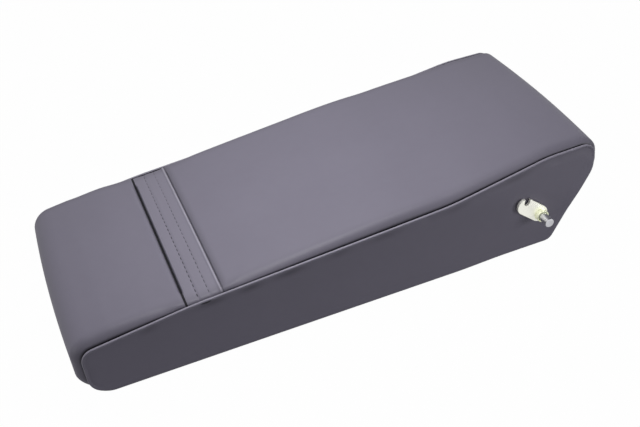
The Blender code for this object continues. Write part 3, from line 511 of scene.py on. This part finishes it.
# Painted highlight: this attribute paints the leather paler along the top of the side bead and on the
# band's lip, and it also makes the whole band a little paler.
paler_and_highlight_mask = leather.node("Attribute", {"attribute_name": "paler_and_highlight"}, output="Fac")
plain_leather = leather.blend(mottle * 0.6 + cloudy * 0.25 + pebble * 0.15, LEATHER_DARK, LEATHER_LIGHT)
paler_and_highlit_leather = leather.blend(paler_and_highlight_mask, plain_leather, LEATHER_PALE_AND_HIGHLIGHT)
leather.fill(leather.shader, {
    "Base Color": leather.blend(painted_shade_mask, paler_and_highlit_leather, LEATHER_PAINTED_SHADE),
    "Roughness": 0.44 + mottle * 0.12 + pebble * 0.05,
    "Normal": leather.bump(pebble * 0.8 + pores * 0.2, 0.25, 0.12 * MM),
})


def leather_piece(name, bm):
    """A finished leather piece: the skin faces outwards and gets its thickness."""
    bm.normal_update()
    middle = Vector((0, 0, REAR_HEIGHT / 2))
    facing = 0.0
    for face in bm.faces:
        facing += face.normal.dot(face.calc_center_median() - middle) * face.calc_area()
    if facing < 0:
        bmesh.ops.reverse_faces(bm, faces=bm.faces)
    piece = new_object(name, bm, leather)
    piece.data.shade_smooth()
    wall = piece.modifiers.new("leather_thickness", "SOLIDIFY")
    wall.thickness = LEATHER_THICKNESS
    wall.offset = -1
    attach(piece, "armrest")
    return piece


FRONT_SEAM_ROLL = 4 * MM
FRONT_SEAM_DEPTH = 4 * MM
GROOVE_END_DEPTH = 1.2 * MM
GROOVE_FADES_Y, GROOVE_ENDS_Y = 79 * MM, 84 * MM
GROOVE_SHADE_STARTS, GROOVE_SHADE_FULL = 0.5, 0.9
BAND_GROOVE = 1.5 * MM
UNDER_SEAM_FRONT_X = FRONT_X + 30 * MM
front_start = outline.where(UNDER_SEAM_FRONT_X, False)
front_end = outline.where(BAND_START_X - BAND_GROOVE, True)


def groove_depth(y):
    """The depth of the groove before the band: shallower near the sides, past the ends of the tie-down."""
    share = eased(abs(y), GROOVE_FADES_Y, GROOVE_ENDS_Y)
    return FRONT_SEAM_DEPTH + (GROOVE_END_DEPTH - FRONT_SEAM_DEPTH) * share


def groove_shade(gone_down):
    """How much shade is painted on the leather where it has gone down a share of the way into a seam
    across the top.
    """
    return eased(gone_down, GROOVE_SHADE_STARTS, GROOVE_SHADE_FULL)


def front_relief(distance, y):
    """The front cover dives into the groove before the band, with shade painted on it as it goes down."""
    gone_down = turned_in(front_end - distance, FRONT_SEAM_ROLL, 1.0)
    return -gone_down * groove_depth(y), groove_shade(gone_down), 0.0


front_cover = cover_panel("front_cover_leather", front_start, front_end, 120, front_relief)
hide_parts("front_cover")

# Stitched band: a 30 mm strip of the same leather across the top, a little lower than its neighbours. Its
# front seam is pulled down into the foam, and its rear edge stands up as a lip over the top cover's seam.
BAND_SINK = 0.9 * MM
BAND_FRONT_ROLL = 2 * MM
# The whole band is painted a little paler.
BAND_PALER = 0.10
STITCH_ROWS = (10.1 * MM, 19.6 * MM)
ROW_DEPTHS = (0.55 * MM, 0.3 * MM)
ROW_HALF_WIDTH = 1.2 * MM
LIP_HEIGHT = 1.1 * MM
LIP_HALF_WIDTH = 1.1 * MM
# The lip's highlight is painted as paler leather.
LIP_HIGHLIGHT = 0.6
LIP_HIGHLIGHT_HALF_WIDTH = 0.6 * LIP_HALF_WIDTH
UNDERLAP = 1.8 * MM
UNDERLAP_DEPTH = 1.35 * MM
UNDERLAP_STEP = 0.3 * MM
UNDERLAP_SHADE = 0.7
SEAM_FADES_Y, SEAM_ENDS_Y = 82 * MM, 93 * MM
SEAM_LOST = 0.6
band_start = outline.where(BAND_START_X, True)
band_end = band_start + BAND_WIDTH + UNDERLAP


def hump(offset, half_width):
    """1 in the middle of a soft hump, and near 0 well outside its half width."""
    return math.exp(-((offset / half_width) ** 2))


def seam_share(y):
    """The share of its depth that a seam across the top keeps: less near the sides, where it runs out."""
    return 1 - SEAM_LOST * eased(abs(y), SEAM_FADES_Y, SEAM_ENDS_Y)


def band_relief(distance, y):
    """The band's sunken face, its two sewn rows, the lip, and the edge tucked under the lip, with shade
    painted in the groove and under the lip, a highlight painted on the lip, and the band a little paler
    all over.
    """
    from_front = distance - band_start
    from_lip = from_front - BAND_WIDTH + LIP_HALF_WIDTH
    gone_down = turned_in(from_front, BAND_FRONT_ROLL, 1.0)
    relief = -BAND_SINK - gone_down * (groove_depth(y) - BAND_SINK)
    relief += LIP_HEIGHT * hump(from_lip, LIP_HALF_WIDTH)
    for row, depth in zip(STITCH_ROWS, ROW_DEPTHS):
        relief -= depth * hump(from_front - row, ROW_HALF_WIDTH)
    tucked = eased(from_front, BAND_WIDTH - UNDERLAP_STEP, BAND_WIDTH + UNDERLAP_STEP)
    relief += (-UNDERLAP_DEPTH * seam_share(y) - relief) * tucked
    paler_and_highlight = BAND_PALER + LIP_HIGHLIGHT * hump(from_lip, LIP_HIGHLIGHT_HALF_WIDTH) * (1 - tucked)
    return relief, max(groove_shade(gone_down), UNDERLAP_SHADE * tucked), paler_and_highlight


band = cover_panel("stitched_band_leather", band_start, band_end, 90, band_relief)
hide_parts("stitched_band")

# Band stitches: two rows of dark twisted thread, sewn through the band. Their colour is partly the
# thread's own dark grey and partly painted shade for the holes it lies in. The thread shows less towards
# the far side, so the stitches there are thinner.
STITCH_PITCH = 6.0 * MM
STITCH_LENGTH = 4.0 * MM
STITCHES_FROM_SEAM = 5 * MM
THREAD_RADII = (0.40 * MM, 0.29 * MM)
THREAD_THINNED = 0.5
THREAD_THINS_Y, THREAD_THINNEST_Y = -10 * MM, 80 * MM
THREAD_DARK = (0.025, 0.024, 0.030, 1)
THREAD_LIGHT = (0.05, 0.048, 0.058, 1)
thread = Surface("dark_thread", {"Specular IOR Level": 0.25})
twist = thread.node(
    "TexWave",
    {"bands_direction": "DIAGONAL"},
    {"Vector": thread.place, "Scale": 700, "Distortion": 0.5},
)
fuzz = thread.noise(3000, 2)
thread.fill(thread.shader, {
    "Base Color": thread.blend(twist, THREAD_DARK, THREAD_LIGHT),
    "Roughness": 0.6 + fuzz * 0.2,
    "Normal": thread.bump(twist + fuzz * 0.3, 0.5, 0.1 * MM),
})

bm = bmesh.new()
stitch_count = int(2 * (seam_reach(band_start) - STITCHES_FROM_SEAM) / STITCH_PITCH)
for row, thread_radius in zip(STITCH_ROWS, THREAD_RADII):
    distance = band_start + row
    place, outward = outline.at(distance)
    for i in range(stitch_count + 1):
        y = (i - stitch_count / 2) * STITCH_PITCH
        ends = []
        for end_y in (y - STITCH_LENGTH / 2, y + STITCH_LENGTH / 2):
            sewn = place + outward * (stuffed(distance, end_y) + band_relief(distance, end_y)[0])
            ends.append(Vector((sewn.x, end_y, sewn.y)))
        turn = (ends[1] - ends[0]).to_track_quat("Z", "Y").to_matrix().to_4x4()
        radius = thread_radius * (1 - THREAD_THINNED * eased(y, THREAD_THINS_Y, THREAD_THINNEST_Y))
        size = Matrix.Diagonal((radius, radius, STITCH_LENGTH / 2, 1))
        lie = Matrix.Translation((ends[0] + ends[1]) / 2) @ turn @ size
        bmesh.ops.create_uvsphere(bm, u_segments=8, v_segments=8, radius=1, matrix=lie)
stitches = new_object("band_stitches", bm, thread)
stitches.data.shade_smooth()
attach(stitches, "armrest")

# Seam allowances: the raw cut edges of the front cover and the band, sewn together at the bottom of the
# groove, where they close it. Their near-black colour is painted shade for the bottom of the groove.
ALLOWANCE_ABOVE = 0.15 * MM
ALLOWANCE_OVERLAP = 0.5 * MM
ALLOWANCE_PAINTED_SHADE_DARK = (0.010, 0.010, 0.012, 1)
ALLOWANCE_PAINTED_SHADE_LIGHT = (0.022, 0.021, 0.025, 1)
allowance_shade = Surface("raw_leather_edge", {"Specular IOR Level": 0.15})
fibres = allowance_shade.noise(1500, 3)
allowance_shade.fill(allowance_shade.shader, {
    "Base Color": allowance_shade.blend(fibres, ALLOWANCE_PAINTED_SHADE_DARK, ALLOWANCE_PAINTED_SHADE_LIGHT),
    "Roughness": 0.8 + fibres * 0.15,
    "Normal": allowance_shade.bump(fibres, 0.6, 0.2 * MM),
})


def allowance_relief(distance, y):
    """The raw edges lie just above the bottom of the groove."""
    return ALLOWANCE_ABOVE - groove_depth(y), 0.0, 0.0


allowance_start, allowance_end = front_end - ALLOWANCE_OVERLAP, band_start + ALLOWANCE_OVERLAP
allowance = cover_panel("band_seam_allowance", allowance_start, allowance_end, 6, allowance_relief)
allowance.material_slots[0].material = allowance_shade.owner

# Top cover: the long leather panel from the band over the rear edge and down the leaning rear face. It is
# sewn in under the band's lip and turns under at the heel.
TOP_SEAM_ROLL = 3.5 * MM
TOP_SEAM_DEPTH = 1.0 * MM
TOP_SEAM_FROM_BAND = 0.8 * MM
TOP_SEAM_SHADE = 0.8
TOP_SHADE = 0.3
TOP_SHADE_REACH = 7 * MM
UNDER_SEAM_REAR_X = HEEL_X - 18 * MM
top_start = band_start + BAND_WIDTH + TOP_SEAM_FROM_BAND
top_end = outline.where(UNDER_SEAM_REAR_X, False)


def top_relief(distance, y):
    """The top cover rolls softly down behind the band, with shade painted where it goes down and just
    behind the seam.
    """
    from_seam = distance - top_start
    gone_down = turned_in(from_seam, TOP_SEAM_ROLL, 1.0)
    shaded = TOP_SHADE * (1 - eased(from_seam, 0, TOP_SHADE_REACH))
    painted_shading = max(TOP_SEAM_SHADE * groove_shade(gone_down), shaded)
    return -gone_down * TOP_SEAM_DEPTH * seam_share(y), painted_shading, 0.0


top_cover = cover_panel("top_cover_leather", top_start, top_end, 240, top_relief)
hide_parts("top_cover")

# Underside cover: a plain, level leather panel, sewn in between the turned-under ends of the front cover
# and the top cover, and between the two side panels.
bm = bmesh.new()
bmesh.ops.create_grid(bm, x_segments=60, y_segments=40, size=0.5)
under_reach = HALF_WIDTH - ROLL_RADIUS
for vert in bm.verts:
    x = UNDER_SEAM_FRONT_X + (UNDER_SEAM_REAR_X - UNDER_SEAM_FRONT_X) * (vert.co.x + 0.5)
    y = under_reach * math.sin(vert.co.y * math.pi)
    vert.co = (x, y, turned_in(under_reach - abs(y), FAR_SEAM_ROLL, SEAM_DEPTH * PLAIN_SEAM_SHARE))
underside = leather_piece("underside_leather", bm)
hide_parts("underside_cover")

# Side covers: one leather panel for each side. Its upper edge is turned over into a standing bead along
# the seam, its other edges roll under, and it has a round hole for the hinge pin's bearing.
SIDE_DIP = 0.8 * MM
DIP_STEP = 0.7 * MM
DIP_HALFWAY = 0.6
FLAT_STARTS = 9.5 * MM
FLAT_RING_SHARES = (0.12, 0.27, 0.45, 0.7, 1.0)
TUCK = 1.6 * MM
FOOT_ROOM = 0.1 * MM
ROLL_GROOVE, BEAD_FOOT = 0.6 * MM, 0.4 * MM
BEAD_TURN = math.radians(70)
EDGE_ARC_STEPS = 10
HIDDEN_RINGS = 2
FIRST_DIP_RING = HIDDEN_RINGS + EDGE_ARC_STEPS + 1
BEAD_TOP_RING = 7
# The bead's highlight is painted as paler leather along its top rings.
BEAD_HIGHLIGHT = 0.4
BEAD_HIGHLIGHT_RINGS = 2
BEAD_SHADE_RINGS, BEAD_SHADE_FADE = 3.5, 2
SIDE_STEPS = 620
SLICE = 4 * MM
BEARING_HOLE_RADIUS = 6.3 * MM
# Each gather has its middle along x, its half width and its depth.
GATHERS = (
    (-172 * MM, 7 * MM, 0.30 * MM),
    (-118 * MM, 11 * MM, 0.45 * MM),
    (-86 * MM, 9 * MM, 0.50 * MM),
    (-52 * MM, 12 * MM, 0.50 * MM),
    (-9 * MM, 9 * MM, 0.30 * MM),
    (31 * MM, 14 * MM, 0.30 * MM),
    (97 * MM, 12 * MM, 0.22 * MM),
    (155 * MM, 15 * MM, 0.25 * MM),
)
GATHER_DROP = 5 * MM
GATHER_HEIGHT = 2.6 * MM
GATHER_SHADE = 0.9 / MM
PUCKER_DEPTH = 0.35 * MM
PUCKER_DROP = 3 * MM
PUCKER_REACH = 8 * MM
PUCKER_WAVE, FINE_PUCKER_WAVE = 6.3 * MM, 3.9 * MM
FINE_PUCKER_SHARE = 0.7
PUCKERS_CHANGE_OVER = 61 * MM
PUCKERS_LEAST = 0.4
FINE_START, CHANGE_START = 1.7, 2.1
pin_low, pin_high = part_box("hinge_pin_left")
PIVOT = Vector(((pin_low.x + pin_high.x) / 2, (pin_low.z + pin_high.z) / 2))


def edge_rings(distance):
    """The rings of the side panel's turned edge, from inside the seam out over the bead.

    Each is a pair: the distance in from the outline and the distance in from the side.
    """
    radius, bead = side_radius(distance), bead_share(distance)
    groove = (SEAM_DEPTH - BEAD_FOOT) * bead + ROLL_GROOVE
    foot = radius * (1 + bead)
    rings = [(groove, foot + TUCK), (groove, foot + FOOT_ROOM)]
    first_angle = -BEAD_TURN * bead
    for step in range(EDGE_ARC_STEPS + 1):
        angle = first_angle + (math.pi / 2 - first_angle) * step / EDGE_ARC_STEPS
        rings.append((radius * (1 - math.cos(angle)), radius * (1 - math.sin(angle))))
    dip = SIDE_DIP * bead
    inner = radius + 2 * DIP_STEP
    rings += [(radius + DIP_STEP, dip * DIP_HALFWAY), (inner, dip)]
    for share in FLAT_RING_SHARES:
        rings.append((inner + (FLAT_STARTS - inner) * share, dip + (SIDE_DIP / 2 - dip) * share))
    return rings


def gathered(place, outward, inward):
    """How deep the side is drawn in at the gathers under the bead."""
    deep = 0.0
    for gather_x, half_width, depth in GATHERS:
        across = hump(place.x - gather_x, half_width) * hump(inward - GATHER_DROP, GATHER_HEIGHT)
        deep += depth * across * max(outward.y, 0)
    return deep


def puckered(distance, inward):
    """How deep the small hollows under the bead are, where the side is eased into the seam."""
    waves = math.sin(distance / PUCKER_WAVE)
    waves += FINE_PUCKER_SHARE * math.sin(distance / FINE_PUCKER_WAVE + FINE_START)
    strong = math.sin(distance / PUCKERS_CHANGE_OVER + CHANGE_START) ** 2
    strong = PUCKERS_LEAST + (1 - PUCKERS_LEAST) * strong
    return PUCKER_DEPTH * strong * max(waves, 0) * hump(inward - PUCKER_DROP, PUCKER_REACH)


def turned_edge(bm):
    """The rings of the turned edge, right round the side panel. Gives back the edges of the innermost."""
    painted_shade = bm.verts.layers.float.new("painted_shade")
    paler_and_highlight_layer = bm.verts.layers.float.new("paler_and_highlight")
    last_ring = len(edge_rings(0)) - 1
    bmesh.ops.create_grid(bm, x_segments=SIDE_STEPS, y_segments=last_ring, size=0.5)
    for vert in bm.verts:
        distance = outline.length * (vert.co.x + 0.5)
        ring = round((vert.co.y + 0.5) * last_ring)
        inward, lower = edge_rings(distance)[ring]
        place, outward = outline.at(distance)
        spot = place - outward * inward
        bead = bead_share(distance)
        reach = side_reach(place if ring < HIDDEN_RINGS else spot) - lower
        drawn_in = gathered(place, outward, inward) if ring >= FIRST_DIP_RING else 0
        if FIRST_DIP_RING <= ring < last_ring:
            reach -= (puckered(distance, inward) + drawn_in) * bead
        vert.co = (spot.x, reach, spot.y)
        vert.tag = ring == last_ring
        # Shade is painted in the groove inside the bead and in the hollows of the gathers, and a highlight
        # along the top of the bead.
        dark = eased(BEAD_SHADE_RINGS - ring, 0, BEAD_SHADE_FADE)
        vert[painted_shade] = max(dark, GATHER_SHADE * drawn_in) * bead
        vert[paler_and_highlight_layer] = BEAD_HIGHLIGHT * hump(ring - BEAD_TOP_RING, BEAD_HIGHLIGHT_RINGS) * bead
    bmesh.ops.remove_doubles(bm, verts=bm.verts, dist=0.001 * MM)
    return [edge for edge in bm.edges if edge.is_boundary and all(vert.tag for vert in edge.verts)]


def pierced_middle(bm, rim):
    """Fills the panel inside its turned edge with small faces, round the hole for the bearing."""
    turned = Matrix.Translation((PIVOT.x, 0, PIVOT.y)) @ Matrix.Rotation(math.pi / 2, 4, "X")
    circle = bmesh.ops.create_circle(bm, segments=40, radius=BEARING_HOLE_RADIUS, matrix=turned)
    hole = set(circle["verts"])
    for vert in hole:
        vert.co.y = HALF_WIDTH
    hole_edges = [edge for edge in bm.edges if hole.issuperset(edge.verts)]
    filled = bmesh.ops.triangle_fill(bm, use_beauty=True, use_dissolve=False, edges=rim + hole_edges)
    middle = [item for item in filled["geom"] if isinstance(item, bmesh.types.BMFace)]
    for normal, low, high in (((1, 0, 0), -LENGTH / 2, LENGTH / 2), ((0, 0, 1), 0, REAR_HEIGHT)):
        for i in range(1, int((high - low) / SLICE)):
            plane = Vector(normal) * (low + i * SLICE)
            edges = dict.fromkeys(edge for face in middle for edge in face.edges)
            verts = dict.fromkeys(vert for face in middle for vert in face.verts)
            geom = [*middle, *edges, *verts]
            cut = bmesh.ops.bisect_plane(bm, geom=geom, dist=0.0001 * MM, plane_co=plane, plane_no=normal)
            middle = [item for item in cut["geom"] if isinstance(item, bmesh.types.BMFace)]
    inside = set(middle)
    for vert in {vert for face in middle for vert in face.verts}:
        if all(face in inside for face in vert.link_faces):
            vert.co.y = side_reach(Vector((vert.co.x, vert.co.z))) - SIDE_DIP / 2


def side_panel(name, side):
    """One side panel: the turned edge, then the filled middle, on its own side of the armrest."""
    bm = bmesh.new()
    pierced_middle(bm, turned_edge(bm))
    for vert in bm.verts:
        vert.co.y *= side
    return leather_piece(name, bm)


SIDES = {"left": -1, "right": 1}
for side_name, side in SIDES.items():
    side_cover = side_panel(f"side_leather_{side_name}", side)
    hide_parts(f"side_cover_{side_name}")

# Tie-down: the cloth listing sewn under the band's front seam, drawn down by hog rings from the wire in it
# to a second wire in the foam. Only the deep groove in the leather shows it.
HOG_RINGS = [f"hog_ring_{number}" for number in range(1, 5)]
STRIP_THICKNESS = 1.0 * MM
STRIP_CLEARANCE = 0.3 * MM
NOTCH_CLEARANCE = 0.4 * MM
LISTING_LIGHT = (0.62, 0.62, 0.60, 1)
LISTING_DARK = (0.45, 0.45, 0.44, 1)
listing = Surface("listing_cloth", {"Specular IOR Level": 0.2})
warp = listing.node("TexWave", {"bands_direction": "Y"}, {"Vector": listing.place, "Scale": 400})
weft = listing.node("TexWave", {"bands_direction": "Z"}, {"Vector": listing.place, "Scale": 400})
weave = warp * weft
listing.fill(listing.shader, {
    "Base Color": listing.blend(weave, LISTING_DARK, LISTING_LIGHT),
    "Roughness": 0.85 + weave * 0.1,
    "Normal": listing.bump(weave, 0.4, 0.1 * MM),
})

tie_low, tie_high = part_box("tie_wire")
strip_x = (tie_low.x + tie_high.x) / 2
strip_low_z = tie_high.z + STRIP_CLEARANCE
strip_high_z = outline.at(front_end)[0].y - FRONT_SEAM_DEPTH - STRIP_CLEARANCE
size = Matrix.Diagonal((STRIP_THICKNESS, tie_high.y - tie_low.y, strip_high_z - strip_low_z, 1))
lie = Matrix.Translation((strip_x, 0, (strip_low_z + strip_high_z) / 2))
bm = bmesh.new()
bmesh.ops.create_cube(bm, size=1, matrix=lie @ size)
ring_boxes = [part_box(ring_name) for ring_name in HOG_RINGS]
notch_top = max(high.z for _, high in ring_boxes) + STRIP_CLEARANCE
notches = [(low.y - NOTCH_CLEARANCE, high.y + NOTCH_CLEARANCE) for low, high in ring_boxes]
for notch in notches:
    for notch_y in notch:
        geom = [*bm.verts, *bm.edges, *bm.faces]
        bmesh.ops.bisect_plane(bm, geom=geom, plane_co=(0, notch_y, 0), plane_no=(0, 1, 0))
geom = [*bm.verts, *bm.edges, *bm.faces]
bmesh.ops.bisect_plane(bm, geom=geom, plane_co=(0, 0, notch_top), plane_no=(0, 0, 1))
notched = []
for face in bm.faces:
    spot = face.calc_center_median()
    if spot.z < notch_top and any(low < spot.y < high for low, high in notches):
        notched.append(face)
bmesh.ops.delete(bm, geom=notched, context="FACES")
bmesh.ops.holes_fill(bm, edges=[edge for edge in bm.edges if edge.is_boundary], sides=0)
bmesh.ops.recalc_face_normals(bm, faces=bm.faces)
listing_strip = new_object("listing_cloth_strip", bm, listing)
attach(listing_strip, "armrest")
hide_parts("listing_strip")

# Wires: the tie wire in the listing, the anchor wire in the foam, and the hog rings closed round both.
# They are drawn steel, left bright.
WIRE_DARK = (0.36, 0.36, 0.37, 1)
WIRE_LIGHT = (0.58, 0.58, 0.60, 1)
wire = Surface("bright_wire", {"Metallic": 1.0})
drawn = wire.node("Mapping", values={"Vector": wire.place, "Scale": (1500, 40, 1500)})
draw_lines = wire.node("TexNoise", values={"Vector": drawn, "Scale": 1.0, "Detail": 3})
wire.fill(wire.shader, {
    "Base Color": wire.blend(draw_lines, WIRE_DARK, WIRE_LIGHT),
    "Roughness": 0.25 + draw_lines * 0.25,
})


def dress(node_names, surface):
    """Gives solids of the frame their surface."""
    for node_name in node_names:
        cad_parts[node_name].material_slots[0].material = surface.owner


dress(["tie_wire", "anchor_wire", *HOG_RINGS], wire)

# Foam: the two moulded pads inside the leather, split level with the frame and hollowed for it. They are
# cold-cured foam with an open cell.
FOAM_DARK = (0.60, 0.52, 0.32, 1)
FOAM_LIGHT = (0.80, 0.73, 0.50, 1)
FOAM_CELL = 1.1 * MM
PADS = ["foam_top", "foam_bottom"]
foam = Surface("moulded_foam", {"Specular IOR Level": 0.1})
cells = foam.node("TexVoronoi", values={"Vector": foam.place, "Scale": 1 / FOAM_CELL})
ageing = foam.noise(25, 4)
foam.fill(foam.shader, {
    "Base Color": foam.blend(ageing * 0.6 + cells * 0.4, FOAM_DARK, FOAM_LIGHT),
    "Roughness": 0.85 + cells * 0.1,
    "Normal": foam.bump(cells, 0.7, 0.5 * MM),
})
dress(PADS, foam)

# Steel frame: bent tube, cross bar, ribbed sheet, brackets and bearing sleeves, welded and dipped in
# black paint, which has a faint orange peel.
PAINT_DARK = (0.012, 0.012, 0.013, 1)
PAINT_LIGHT = (0.035, 0.035, 0.037, 1)
paint = Surface("black_frame_paint", {"Specular IOR Level": 0.5})
paint_cloud = paint.noise(60, 4)
peel = paint.noise(900, 2)
paint.fill(paint.shader, {
    "Base Color": paint.blend(paint_cloud, PAINT_DARK, PAINT_LIGHT),
    "Roughness": 0.35 + paint_cloud * 0.2,
    "Normal": paint.bump(peel, 0.3, 0.1 * MM),
})
dress(["frame_hoop", "cross_bar", "support_plate"], paint)
for side_name in SIDES:
    dress([f"hinge_bracket_{side_name}", f"bearing_sleeve_{side_name}"], paint)

# Pivot bushes: flanged sleeves that the pins turn in, pressed into the bearing. They are moulded in black
# nylon, which comes out slightly mottled.
NYLON_DARK = (0.010, 0.010, 0.011, 1)
NYLON_LIGHT = (0.028, 0.028, 0.030, 1)
nylon = Surface("black_nylon", {"Specular IOR Level": 0.4})
flow = nylon.noise(300, 3)
nylon.fill(nylon.shader, {
    "Base Color": nylon.blend(flow, NYLON_DARK, NYLON_LIGHT),
    "Roughness": 0.4 + flow * 0.2,
    "Normal": nylon.bump(flow, 0.15, 0.05 * MM),
})
dress([f"pivot_bush_{side_name}" for side_name in SIDES], nylon)

# Hinge lugs: pressed steel plates with a drawn collar, zinc plated and yellow passivated. The film is
# pale straw on the flat and greener on the collar round the pin.
ZINC_STRAW = (0.95, 0.94, 0.88, 1)
ZINC_GREEN = (0.62, 0.66, 0.36, 1)
COLLAR_REACH = 5.5 * MM
FILM_FADE = 2.5 * MM
FILM_RAGGED = 3 * MM
GREEN_ON_COLLAR, GREEN_ON_FLAT = 0.9, 0.08
zinc = Surface("yellow_zinc", {"Metallic": 1.0})
flat_place = zinc.node("VectorMath", {"operation": "MULTIPLY"}, {0: zinc.place, 1: (1, 0, 1)})
pin_axis = Vector((PIVOT.x, 0, PIVOT.y))
between = {0: flat_place, 1: pin_axis}
from_axis = zinc.node("VectorMath", {"operation": "DISTANCE"}, between, output="Value")
film = zinc.node("TexNoise", values={"Vector": zinc.place, "Scale": 140, "Detail": 3, "Distortion": 0.6})
green = zinc.node("MapRange", values={
    "Value": from_axis + film * FILM_RAGGED,
    "From Min": COLLAR_REACH,
    "From Max": COLLAR_REACH + FILM_FADE,
    "To Min": GREEN_ON_COLLAR,
    "To Max": GREEN_ON_FLAT,
})
speckle = zinc.noise(1800, 2)
zinc.fill(zinc.shader, {
    "Base Color": zinc.blend(green, ZINC_STRAW, ZINC_GREEN),
    "Roughness": 0.34 + speckle * 0.2,
    "Normal": zinc.bump(speckle, 0.2, 0.04 * MM),
})
dress([f"hinge_lug_{side_name}" for side_name in SIDES], zinc)

# Hinge pins, with the washers and circlips that hold them in their bearings: ground steel, with the fine
# rings that turning leaves.
STEEL_DARK = (0.42, 0.42, 0.44, 1)
STEEL_LIGHT = (0.68, 0.68, 0.71, 1)
steel = Surface("ground_steel", {"Metallic": 1.0})
ring_map = steel.node("Mapping", values={"Vector": steel.place, "Scale": (60, 2500, 60)})
turning = steel.node("TexNoise", values={"Vector": ring_map, "Scale": 1.0, "Detail": 3})
steel.fill(steel.shader, {
    "Base Color": steel.blend(turning, STEEL_DARK, STEEL_LIGHT),
    "Roughness": 0.25 + turning * 0.2,
    "Normal": steel.bump(turning, 0.25, 0.03 * MM),
})
for side_name in SIDES:
    dress([f"hinge_pin_{side_name}", f"thrust_washer_{side_name}", f"circlip_{side_name}"], steel)
